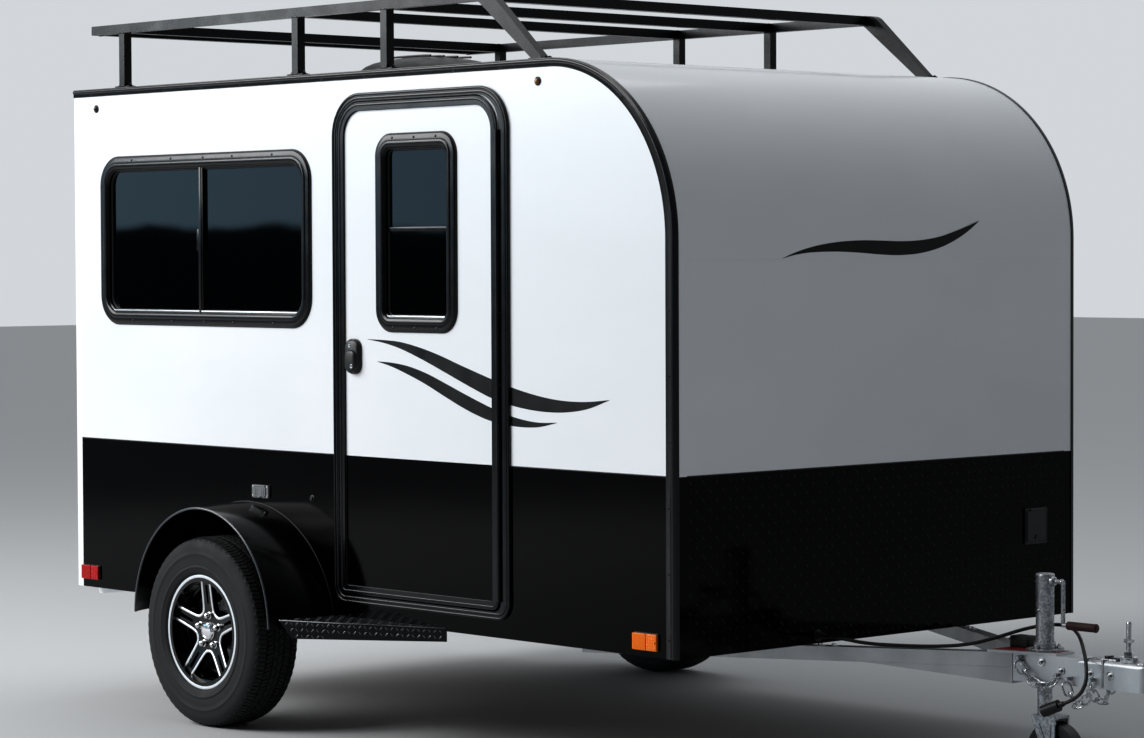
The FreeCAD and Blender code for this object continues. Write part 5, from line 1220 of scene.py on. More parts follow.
@dataclass
class RoofRack:
    """Welds, plugs, pads and bolts of the square-tube roof rack."""

    side: float = 958.0
    half: float = 17.0
    top: float = 2597.0
    foot: float = 2354.0
    rear: float = 105.0
    bars: tuple[float, ...] = (122, 305, 1385, 1888, 2391)
    posts: tuple[float, ...] = (305, 1385, 1888)
    toe: Pair = (2662, 2715)

    def build(self) -> None:
        """Builds both side frames' fine pieces."""
        beads, pads = Mould("rack_welds"), Mould("rack_foot_pads")
        plugs, bolts = Mould("rack_end_plugs"), Mould("rack_foot_bolts")
        half = self.half
        for sign in (-1, 1):
            inside = Face(Y * (sign * (self.side - half)), X, Z, Y * -sign)
            for bar in self.bars:
                beads.weld(inside, (bar - half, self.top - half * 2), (bar + half, self.top - 1))
            for joint in (self.foot + 6, self.top - half * 2):
                flat = level(0, sign * self.side, joint)
                for post in self.posts:
                    beads.weld(flat, (post - half, -half), (post + half, half))
            flat = level(0, sign * self.side, self.foot)
            pads.slab(flat, (self.toe[0] - 16, -half - 3, -1), (self.toe[1] + 14, half + 3, 4), 1.5)
            beads.weld(flat, (self.toe[0], -half), (self.toe[1], half), 5)
            for post in self.posts:
                pads.slab(flat, (post - 49, -half - 3, -1), (post + 49, half + 3, 1.6), 0.8)
                for shift in (-32, 32):
                    bolts.bolt(flat.point(post + shift, 0, 6), Z, 12, 8, 4)
            for shift in (-9, 9):
                bolts.bolt(flat.point(self.toe[1] + 7, shift, 4), Z, 8, 5)
            plugs.slab(Face(at(self.rear, sign * self.side, self.top - half), Y, Z, -X),
                       (-half + 0.6, -half + 0.6, -1), (half - 0.6, half - 0.6, 3.5), 2.2)
        beads.piece(STEEL, "black_steel", sharp=60)
        pads.piece(SEAL, "black_steel")
        plugs.piece(PLASTIC, "black_plastic")
        bolts.piece(DARK_STEEL, "black_steel")


@dataclass
class RoofVent:
    """The vent's crowned lid, its flange screws and sealant, and the fan behind its guard."""

    station: float = 980.0
    half: float = 215.0
    flange: float = 232.0
    flange_top: float = 2356.0
    guard: float = 2322.0

    def lid(self) -> None:
        """The crowned lid with its four ribs and its lip."""
        lid = Mould("vent_lid_domed")
        crown = level(self.station, 0, 0)
        levels = [(0, 2376), (0, 2398), (2.5, 2408), (9, 2423), (22, 2438), (42, 2451), (70, 2461), (104, 2468),
                  (144, 2472), (184, 2474)]
        shell = [crown.line(rounded((-half, -half), (half, half), min(45 + inset * 0.3, half * 0.98)), out - drop)
                 for half, out, drop, inset in [(self.half - inset, out, 0, inset) for inset, out in levels]
                 + [(self.half - 4 - inset, out, 4 if inset else 0, inset) for inset, out in reversed(levels)]]
        rings, count = [lid.ring(ring) for ring in shell], len(levels)
        lid.skin(rings[:count])
        lid.skin(rings[count:])
        lid.skin([rings[0], rings[-1]])
        lid.mesh.faces.new(rings[count - 1])
        lid.mesh.faces.new(rings[count])
        for side in (-102, -34, 34, 102):
            lid.tube([crown.point(along, side, 2474.6 - 0.00026 * max(abs(along) - 40, 0) ** 2)
                      for along in range(-126, 127, 14)], 4.2, 8)
        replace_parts(lid.piece(PLASTIC, "black_plastic", Ride.VENT, sharp=40), "vent_lid")
        rim = Mould("vent_lid_lip")
        skirt = rounded((-214, -214), (214, 214), 45)
        rim.sweep(level(self.station, 0, 2381).line(skirt),
                  [(-1, -3.5), (-1, 3.5), (2.6, 2.6), (3.4, 0), (2.6, -2.6)], Z, closed=True)
        rim.piece(PLASTIC, "black_plastic", Ride.VENT)

    def seat(self) -> None:
        """The sealant and the screws round the flange on the roof."""
        sealant = Mould("vent_flange_sealant")
        edge = self.flange + 1
        sealant.tube(level(self.station, 0, ROOF + 1).line(rounded((-edge, -edge), (edge, edge), 8)), 4.5, 8,
                     closed=True)
        sealant.piece(SEALANT, "grey_plastic", sharp=60)
        screws = Mould("vent_flange_screws")
        row = self.flange - 9
        for spot in (-190, -114, -38, 38, 114, 190):
            for along, side in ((spot, row), (spot, -row), (row, spot), (-row, spot)):
                screws.screw(at(self.station + along, side, self.flange_top), Z, 3.6, 2.4)
        screws.piece(BRIGHT_ZINC, "zinc_steel")

    def fan(self) -> None:
        """The fan's blades and hub behind a guard of rings and spokes."""
        guard = Mould("vent_fan_guard")
        centre = at(self.station, 0, self.guard)
        for radius in (44, 66, 88, 110, 132, 154, 172):
            guard.tube([centre + at(radius * cos(a), radius * sin(a), 0) for a in circle(48)], 1.7, 6, closed=True)
        for turn in circle(6):
            reach = at(cos(turn), sin(turn), 0)
            guard.tube([centre + reach * 30, centre + reach * 176], 2.2, 8)
        guard.lathe(centre - Z * 8, Z, [(0, 40), (14, 40), (18, 34), (19, 8)], 32)
        for turn in circle(5):
            reach = at(cos(turn + 0.3), sin(turn + 0.3), 0)
            beside = Z.cross(reach)
            rings = []
            for share in (0, 0.25, 0.5, 0.75, 1):
                middle = centre + Z * 26 + reach * (34 + 128 * share)
                width, pitch = 22 + 18 * share, radians(34 - 16 * share)
                lean = beside * cos(pitch) + Z * sin(pitch)
                lift = (Z * cos(pitch) - beside * sin(pitch)) * 1.1
                rings.append(guard.ring([middle - lean * width + lift, middle + lean * width + lift,
                                         middle + lean * width - lift, middle - lean * width - lift]))
            guard.loft(rings)
        guard.lathe(centre + Z * 10, Z, [(0, 20), (6, 36), (24, 36), (28, 30), (29, 6)], 32)
        guard.piece(PLASTIC, "grey_plastic", sharp=40)

    def build(self) -> None:
        """Builds the lid and what lies under it."""
        self.lid()
        self.seat()
        self.fan()


@dataclass
class LoadingRamp:
    """Edge extrusion, seal, cams, grips, plate and screws of the rear ramp and its frame."""

    low: Pair = (-924.5, 468)
    high: Pair = (924.5, 2283)
    band: float = 24.0
    proud: float = 2.2
    lock_side: float = 594.5
    lock_out: float = 18.0
    bearings: Triple = (588, 1188, 2163)
    keeper: float = 2292.0
    plate_low: Pair = (267.5, 640)
    plate_high: Pair = (572.5, 792)

    def panel(self) -> None:
        """The bright extrusion along the ramp's sides and top, and its screws."""
        edge, screws = Mould("ramp_edge_extrusion"), Mould("ramp_edge_screws")
        left, foot, right, top = *self.low, *self.high
        middle = self.band / 2
        for low, high in (((left, foot + 48, -0.5), (left + self.band, top, self.proud)),
                          ((right - self.band, foot + 48, -0.5), (right, top, self.proud)),
                          ((left + self.band, top - self.band, -0.5), (right - self.band, top, self.proud))):
            edge.slab(REAR, low, high, 0.9)
        screws.screws(REAR, (left + middle, right - middle), [foot + 90 + step * 154 for step in range(12)],
                      self.proud, 3.4, 2.2)
        screws.screws(REAR, [left + 70 + step * 155.4 for step in range(12)], (top - middle,), self.proud, 3.4, 2.2)
        screws.screws(REAR, [left + 32 + step * 99.2 for step in range(19)], (foot + 34,), 3, 3.2, 2)
        edge.piece(ALUMINIUM, "mill_aluminium", Ride.RAMP)
        screws.piece(BRIGHT_ZINC, "zinc_steel", Ride.RAMP)
        seal = Mould("ramp_opening_seal")
        seal.sweep(REAR.line([(left - 11, foot + 6), (left - 11, top + 10), (right + 11, top + 10),
                              (right + 11, foot + 6)]), bead(5, 4), -X)
        seal.piece(SEAL, "white_frame", sharp=50)

    def locks(self) -> None:
        """Bearing screws, cams and their keepers, and a rubber sleeve on each handle."""
        cams, keepers = Mould("lock_cams"), Mould("lock_keepers")
        grips, screws = Mould("lock_grips"), Mould("lock_bearing_screws")
        handle, keeper = self.bearings[1], self.keeper
        for sign in (-1, 1):
            side = sign * self.lock_side
            for height in self.bearings:
                screws.screws(REAR, (side - 22, side + 22), (height - 22, height + 22), self.lock_out, 4, 2.6)
                cams.lathe(REAR.point(side, height - 34, self.lock_out), Z, [(0, 14), (3, 15), (8, 15), (9, 12)], 20)
            cams.slab(REAR, (side - 11, keeper - 40, 6), (side + 11, keeper - 14, 27), 3)
            cams.slab(REAR, (side - 6, keeper - 26, 3), (side + 24, keeper - 12, 12), 2)
            keepers.slab(REAR, (side - 26, keeper, -0.4), (side + 26, keeper + 38, 4), 1.2)
            keepers.slab(REAR, (side - 18, keeper, 3), (side + 18, keeper + 8, 24), 1.5)
            keepers.slab(REAR, (side - 18, keeper, 20), (side + 18, keeper + 20, 25), 1.5)
            keepers.screws(REAR, (side - 19, side + 19), (keeper + 28,), 4, 3.6, 2.4)
            spans = [(140, 258, 14.5, 10.5, 32.5, 4)] + [(154 + rib * 11, 158 + rib * 11, 15.4, 9.8, 33.2, 2)
                                                         for rib in range(9)]
            for start, end, half, low, high, soft in spans:
                near, far = sorted((side + sign * start, side + sign * end))
                grips.slab(REAR, (near, handle - half, low), (far, handle + half, high), soft)
            catch = side + sign * 96
            cams.slab(REAR, (catch - 9, handle - 20, 2), (catch + 9, handle + 20, 13), 2)
        cams.piece(ZINC, "zinc_steel", Ride.RAMP, sharp=40)
        keepers.piece(ZINC, "zinc_steel", sharp=40)
        grips.piece(SEAL, "zinc_steel", Ride.RAMP, sharp=40)
        screws.piece(BRIGHT_ZINC, "zinc_steel", Ride.RAMP)

    def plate(self) -> None:
        """A blank plate in its holder, with a lamp over it."""
        (left, foot), (right, top) = self.plate_low, self.plate_high
        blank = Mould("plate_blank")
        blank.plate(REAR, rounded(self.plate_low, self.plate_high, 12, inset=4), 3.5, 5.2, 0.6)
        line = rounded(self.plate_low, self.plate_high, 8, inset=10)
        blank.sweep(REAR.line(line, 5), bead(1.6, 1), -X, closed=True)
        blank.piece(FRAME, "black_plastic", Ride.RAMP)
        lamp, lens, screws = Mould("plate_lamp_housing"), Mould("plate_lamp_lens"), Mould("plate_screws")
        middle = (left + right) / 2
        lamp.slab(REAR, (middle - 38, top + 6, -0.5), (middle + 38, top + 30, 22), 4)
        lens.slab(REAR, (middle - 28, top + 2.5, 5), (middle + 28, top + 7, 19), 1.5)
        screws.screws(REAR, (left + 62, right - 62), (foot + 14, top - 14), 5.2, 4.4, 2.6)
        lamp.piece(PLASTIC, "black_plastic", Ride.RAMP)
        lens.piece(CLEAR, "black_plastic", Ride.RAMP)
        screws.piece(BRIGHT_ZINC, "zinc_steel", Ride.RAMP)

    def build(self) -> None:
        """Builds the ramp's fine pieces."""
        self.panel()
        self.locks()
        self.plate()


@dataclass
class Lamps:
    """Lenses with softened edges and flutes on dark bases, in place of the plain blocks."""

    proud: float = 14.0
    base: float = 3.0
    length: float = 110.0
    height: float = 54.0
    rim: float = 4.0
    flute: float = 5.2

    def lens(self, mould: Mould, face: Face, low: Pair, high: Pair, top: float, flutes: bool = True) -> None:
        """One lens: a softened block with upright flutes on its face."""
        mould.slab(face, (*low, 1), (*high, top - (0.8 if flutes else 0)), 3)
        if flutes:
            room = high[0] - low[0] - 2 * self.rim
            count = max(int(room / self.flute), 1)
            step = room / count
            for index in range(count):
                across = low[0] + self.rim + step * (index + 0.5)
                mould.sweep(face.line([(across, low[1] + 3.5), (across, high[1] - 3.5)], top - 1.2),
                            bead(step * 0.44, 1.2), face.out)

    def markers(self, name: str, finish: Finish, slot: str, rear: float, foot: float) -> bpy.types.Object:
        """The pair of side markers at a station, each a lens and a reflex part on one base."""
        lenses, bases, reflex = Mould(name), Mould(f"{name}_bases"), Mould(f"{name}_reflex")
        for face in (RIGHT, LEFT):
            front, top = rear + self.length, foot + self.height
            bases.plate(face, rounded((rear, foot), (front, top), 7, inset=-3), 0, self.base, 0.8)
            split = rear + self.length * 0.56
            self.lens(lenses, face, (rear, foot), (split, top), self.proud)
            self.lens(lenses, face, (split, foot), (front, top), self.proud - 3, flutes=False)
            for row in range(5):
                for column in range(4):
                    reflex.lathe(face.point(split + 8 + column * 10.6, foot + 8 + row * 9.6, self.proud - 3.4),
                                 face.out, [(0, 4.6), (0.9, 4.2), (1.5, 1.4)], 6)
            bases.screws(face, (rear + 5, front - 5), (foot + self.height / 2,), self.proud - 1.5, 2.2, 1.2, 8)
        bases.piece(PLASTIC, slot)
        reflex.piece(finish, slot)
        return lenses.piece(finish, slot, sharp=40)

    def build(self) -> None:
        """Builds the four side markers and the two tail lamps."""
        made = self.markers("marker_lenses_amber", AMBER, "amber_lens", 3160, 441)
        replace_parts(made, "front_markers")
        self.markers("marker_lenses_red", RED, "red_lens", 38, 451)
        tails, clears, rims = Mould("tail_lenses_red"), Mould("tail_lenses_clear"), Mould("tail_lamp_rims")
        for sign in (-1, 1):
            low, high = sorted((sign * 941.5, sign * 977.5))
            self.lens(tails, REAR, (low, 816), (high, 968), 9.6)
            self.lens(clears, REAR, (low, 762), (high, 812), 9)
            rims.weld(REAR, (low - 2, 760), (high + 2, 970), 0.8, 2.4)
            rims.slab(REAR, (low, 812.4, 0), (high, 815.6, 8.8), 0.8)
        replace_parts(tails.piece(RED, "red_lens", sharp=40), "rear_lamps")
        clears.piece(CLEAR, "red_lens", sharp=40)
        rims.piece(PLASTIC, "red_lens", sharp=50)
        self.round_lamps()

    def round_lamps(self) -> None:
        """The small round lamps near the roof, each in a rubber grommet."""
        grommets = Mould("round_lamp_grommets")
        # Lens tints darkened as painted shade of the socket behind them.
        for word, finish, slot, station, height in (("amber", SHADED_AMBER_LENS, "amber_lens", 2707, 2279),
                                                    ("red", SHADED_RED_LENS, "red_lens", 152, 2277)):
            lenses = Mould(f"round_lamp_lenses_{word}")
            for face in (RIGHT, LEFT):
                spot = face.point(station, height)
                grommets.lathe(spot, face.out, [(-0.5, 15), (2.2, 15), (3.8, 13.4), (4, 10.6), (-0.5, 10.6)], 32,
                               closed=True)
                lenses.lathe(spot, face.out, [(-0.5, 10.4), (4.6, 10.4), (7.6, 9), (9.6, 5.8), (10.4, 1.5)], 28)
            lenses.piece(finish, slot, sharp=50)
        grommets.piece(SEAL, "black_trim", sharp=50)


@dataclass
class SideFittings:
    """The power inlet's flap, drain plate, water cap and front hatch, and the front panel's tread bars."""

    inlet_low: Pair = (1140, 825)
    inlet_high: Pair = (1237, 872)
    hatch_low: Pair = (719, 681)
    hatch_high: Pair = (840, 808)

    def inlet(self) -> None:
        """The inlet's hinged flap and screws, the drain plate under it and the water cap beside it."""
        (rear, foot), (front, top) = self.inlet_low, self.inlet_high
        flap, screws = Mould("inlet_flap"), Mould("inlet_screws")
        flap.plate(RIGHT, rounded((rear + 13, foot + 4), (front - 13, top - 5), 7), 7.5, 11.5, 1.6)
        flap.tube(RIGHT.line([(rear + 18, top - 4), (front - 18, top - 4)], 9.5), 3.2, 10)
        flap.slab(RIGHT, (rear + 40, foot + 2, 8), (front - 40, foot + 7, 14), 1.2)
        for shift in (24, 34, 63, 73):
            flap.slab(RIGHT, (rear + shift - 2, foot + 10, 11), (rear + shift + 2, top - 11, 12.6), 0.6)
        screws.screws(RIGHT, (rear + 6.5, front - 6.5), (foot + 7, top - 7), 8, 2.6, 1.8)
        flap.piece(GREY_PLASTIC, "grey_plastic")
        drain = Mould("drain_plate")
        drain.plate(RIGHT, rounded((rear, foot - 56), (rear + 66, foot - 38), 6), 0, 3, 1)
        for shift in (12, 33, 54):
            drain.slab(RIGHT, (rear + shift - 7, foot - 49, 2), (rear + shift + 7, foot - 45, 4.6), 1)
        drain.piece(PLASTIC, "black_plastic")
        screws.piece(BRIGHT_ZINC, "zinc_steel")
        cap = Mould("water_cap")
        cap.lathe(RIGHT.point(1489, 837), -Y, [(0, 13), (2, 13), (2.8, 11.5), (3, 8), (7, 7.6), (8, 6.4), (8.4, 2)],
                  32)
        cap.piece(PLASTIC, "black_plastic")

    def hatch(self) -> None:
        """The hatch's raised frame, door, hinge barrel and cam lock."""
        (left, foot), (right, top) = self.hatch_low, self.hatch_high
        door = Mould("hatch_door")
        door.plate(FRONT, rounded(self.hatch_low, self.hatch_high, 10, inset=9), 5, 9.5, 2)
        line = rounded(self.hatch_low, self.hatch_high, 12, inset=4)
        door.sweep(FRONT.line(line, 5.6), bead(2.2, 2), X, closed=True)
        door.tube(FRONT.line([(left + 26, top - 7), (right - 26, top - 7)], 8), 4, 10)
        door.piece(PLASTIC, "black_plastic")
        lock = Mould("hatch_lock_and_screws")
        lock.lathe(FRONT.point((left + right) / 2, foot + 24, 9), X, [(0, 9), (3, 9), (4, 8), (3.6, 4.5), (3, 4)], 24)
        lock.screws(FRONT, (left + 8, right - 8), (foot + 8, top - 8), 6, 2.8, 2)
        lock.piece(DARK_STEEL, "black_plastic")

    def tread_plate(self) -> None:
        """Low bars of black tread plate over the front panel, round the hatch."""
        bars = Mould("front_tread_bars")
        hatch = (self.hatch_low[0] - 14, self.hatch_high[0] + 14)
        for low, high in (((-944, 425), (hatch[0], 994)), ((hatch[1], 425), (944, 994)),
                          ((hatch[0], 425), (hatch[1], self.hatch_low[1] - 8)),
                          ((hatch[0], self.hatch_high[1] + 8), (hatch[1], 994))):
            area = [low, (high[0], low[1]), high, (low[0], high[1])]
            bars.lozenges(FRONT, area, 30, (10.5, 2.8, 0.6))
        bars.piece(BLACK, "black_gelcoat", sharp=20)

    def build(self) -> None:
        """Builds the fittings on the right side and the front."""
        self.inlet()
        self.hatch()
        self.tread_plate()


@dataclass
class FendersAndStep:
    """The fenders' skins, lips and bolts, and the entry step with its tread bars and worn edge."""

    station: float = 1116.0
    axle: float = 344.5
    reach: float = 500.0
    rise: float = 462.0
    lip_radius: float = 408.0
    lip_centre: float = 388.0
    outer: float = 1217.0
    foot: float = 388.2
    skin: float = 4.0
    flange: float = 56.0
    segments: int = 56
    step_rear: float = 1611.0
    step_front: float = 2226.0
    step_reach: float = 250.0
    step_top: float = 430.0
    step_deep: float = 64.0
    step_tip: float = 46.0
    step_slant: float = 56.0

    def arch(self, sign: int, share: float, inset: float = 0.0, out: float = 0.0) -> list[Vector]:
        """The fender's section by an upright plane, as points from its front foot to its rear one.

        Args:
            sign: The side, -1 for the right.
            share: How far the plane lies from the wall, 0, to the outer lip, 1.
            inset: The distance inside the skin's outer face.
            out: How much further out the points lie.

        Returns:
            The points.
        """
        bend = share ** 1.6
        wide = self.reach + (self.lip_radius - self.reach) * bend - inset
        high = self.rise + (self.lip_radius - self.rise) * bend - inset
        middle = self.axle + (self.lip_centre - self.axle) * bend
        start = asin((self.foot - middle) / high)
        side = sign * (HALF_WIDTH + (self.outer - HALF_WIDTH) * share + out)
        return [at(self.station + wide * cos(turn), side, middle + high * sin(turn))
                for turn in (start + (pi - 2 * start) * step / self.segments for step in range(self.segments + 1))]

    def fenders(self) -> None:
        """The fenders' skins, which narrow from the wall to a rolled lip, and the bolts of their flange."""
        skins, lips, bolts = Mould("fender_skins"), Mould("fender_rolled_lips"), Mould("fender_bolts")
        joint = Mould("fender_joint_seals")
        for sign in (-1, 1):
            shares = (0, 0.12, 0.26, 0.4, 0.54, 0.68, 0.8, 0.9, 0.97, 1)
            layers = [self.arch(sign, share) for share in shares]
            layers += [self.arch(sign, share, self.skin) for share in reversed(shares)]
            plate = [self.arch(sign, 0, inset, out) for inset, out in
                     ((2, 0), (self.flange, 0), (self.flange, self.skin), (2, self.skin))]
            for lines in (layers, plate):
                skins.loft([skins.ring(list(section)) for section in zip(*lines)])
            lips.tube(self.arch(sign, 1, 2, -1), 4.4, 10)
            joint.tube(self.arch(sign, 0, -1, 0.8), 2.6, 8)
            for turn in (18, 42, 66, 90, 114, 138, 162):
                angle = radians(turn)
                spot = at(self.station + (self.reach - 28) * cos(angle), sign * (HALF_WIDTH + 4),
                          self.axle + (self.rise - 28) * sin(angle))
                bolts.bolt(spot, Y * sign, 10, 6, 3)
        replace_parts(skins.piece(FENDER, "black_steel", sharp=50), "fenders")
        # The lips take the lightened black paint: a painted highlight along each lip.
        lips.piece(HIGHLIGHT_BLACK, "black_steel", sharp=60)
        joint.piece(SEAL, "black_steel", sharp=60)
        bolts.piece(DARK_STEEL, "black_steel")

    def step(self) -> None:
        """The folded step plate with its tread bars, its bright worn edge and its brackets."""
        bars, sheet = Mould("step_tread_bars"), Mould("step_plate_folded")
        flat = Face(at(self.step_rear, -HALF_WIDTH, self.step_top), X, -Y, Z)
        run, deep = self.step_front - self.step_rear, self.step_reach
        sheet.plate(flat, [(8, 0), (run, 0), (run, 3), (0, deep)], -4, 0)
        bars.lozenges(flat, [(8, 0), (run, 0), (0, deep)], 27)
        along = at(run, deep, 0)
        length = along.length
        along.normalize()
        skirt = Face(at(self.step_rear, -HALF_WIDTH - deep, self.step_top), along, Z, at(along.y, -along.x, 0))
        front = [(0, 0), (self.step_slant, -self.step_deep), (length, -self.step_tip), (length, 0)]
        sheet.plate(skirt, front, -4, 0)
        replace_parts(sheet.piece(STEEL, "black_steel"), "entry_step")
        bars.lozenges(skirt, front, 21, (8.5, 2.6, 1.2))
        # The step's tread bars take the lightened black paint: a painted highlight on the bars.
        bars.piece(HIGHLIGHT_BLACK, "black_steel", sharp=20)
        edge = Mould("step_worn_edge")
        edge.tube(skirt.line([(2, -1.6), (length - 4, -1.6)], -1.2), 2.6, 8)
        edge.piece(WORN_EDGE, "black_steel", sharp=60)
        brackets = Mould("step_brackets")
        for station in (self.step_rear + 30, self.step_rear + 260, self.step_rear + 470):
            brackets.slab(Face(at(station, -HALF_WIDTH, 0), -Y, Z, X), (-60, 396, -3),
                          (deep * (1 - (station - self.step_rear) / run) - 26, 424.5, 3), 1)
        brackets.piece(STEEL, "black_steel")

    def build(self) -> None:
        """Builds both fenders' pieces and the step's."""
        self.fenders()
        self.step()


@dataclass
class Tongue:
    """Welds, bolts, the plain labels, the junction box and the latch of the tongue and coupler."""

    rear: Pair = (2700, 794)
    front: Pair = (3960, 72)
    heights: Triple = (322, 370, 418)
    tail: float = 373.0
    ball: float = 4440.0
    latch: float = 4375.0
    top: float = 420.0
    plate_top: float = 428.0

    def beside(self, station: float) -> float:
        """How far the beams' outer faces lie from the middle at a station."""
        share = (station - self.rear[0]) / (self.front[0] - self.rear[0])
        return self.rear[1] + (self.front[1] - self.rear[1]) * share

    def beams(self) -> None:
        """The weld lines under the square tubes and at the coupler, and the bolts."""
        welds, bolts = Mould("tongue_welds"), Mould("tongue_bolts")
        for sign in (-1, 1):
            line = [at(station, sign * (self.beside(station) + 0.4), self.tail) for station in range(3540, 3961, 30)]
            welds.tube(line, 1.7, 6)
            for height in (self.heights[0], self.heights[2]):
                welds.tube([at(self.front[0] - 2, sign * side, height + 1) for side in (20, 74)], 2.4, 6)
            welds.tube([at(self.front[0], sign * (self.front[1] + 0.6), height) for height in self.heights], 3, 6)
            for station in (3395, 3435):
                bolts.bolt(at(station, sign * (self.beside(station) - 26), self.top), Z, 14, 8)
            for station, height in ((3995, 398), (4068, 398), (4140, 375), (4250, 375), (4330, 375)):
                narrow = self.front[1] - 34 * min(max(station - self.front[0], 0), 240) / 240
                bolts.bolt(at(station, sign * narrow, height), Y * sign, 14, 8, 5)
        welds.piece(ALUMINIUM, "mill_aluminium", sharp=60)
        bolts.piece(BRIGHT_ZINC, "zinc_steel")

    def coupler(self) -> None:
        """The ball dome, clamp ridges, the latch's thread and lever, and the plate's bolts."""
        cast = Mould("coupler_dome_and_ridges")
        cast.lathe(at(self.ball, 0, self.top - 3), Z, [(0, 34), (5, 33), (9.5, 28), (12.5, 19), (13.5, 5)], 40)
        for station in (4235, 4300):
            cast.slab(upright(station), (-40.5, 334, -4), (40.5, 423, 4), 2.5)
        cast.slab(level(4300, 0, self.top), (-60, -22, -1), (40, 22, 5), 3)
        cast.piece(ZINC, "zinc_steel", sharp=40)
        latch = Mould("latch_thread_and_nut")
        thread = [(34, 8)]
        for turn in range(26):
            thread += [(36 + turn * 3.4, 8), (37.7 + turn * 3.4, 9.4)]
        post = at(self.latch, 0, self.top)
        latch.lathe(post, Z, thread + [(126, 8.2), (127.6, 6.6)], 16)
        latch.bolt(post + Z * 14, Z, 26, 18)
        latch.lathe(post + Z * 62, Z, [(0, 16), (3, 17), (9, 17), (12, 14)], 6)
        latch.piece(BRIGHT_ZINC, "zinc_steel", sharp=40)
        lever = Mould("latch_lever")
        lever.slab(level(4338, 0, self.top + 5), (-40, -9, 0), (40, 9, 5), 1.8)
        lever.slab(level(4300, 0, self.top + 5), (-12, -14, 0), (6, 14, 9), 3)
        lever.piece(DARK_STEEL, "zinc_steel", sharp=40)
        label, flat = Mould("coupler_label_blank"), level(0, 0, self.plate_top)
        for outline in ([(3897, -92), (4016, -62), (4016, -20), (4004, 0), (4016, 20), (4016, 62), (3897, 92)],
                        [(4062, -26), (4112, -34), (4112, 34), (4062, 26)]):
            label.plate(flat, outline, 0, 0.6)
        label.piece(LABEL, "mill_aluminium")
        box = Mould("junction_box")
        box.slab(flat, (3897, -8, 0), (3969, 46, 38), 4)
        box.slab(flat, (3894, -11, 24), (3972, 49, 30), 2)
        box.lathe(at(3890, 30, 444), -X, [(-6, 8), (4, 8), (8, 6), (12, 5.6)], 16)
        box.piece(PLASTIC, "black_plastic")

    def build(self) -> None:
        """Builds the tongue's fine pieces."""
        self.beams()
        self.coupler()


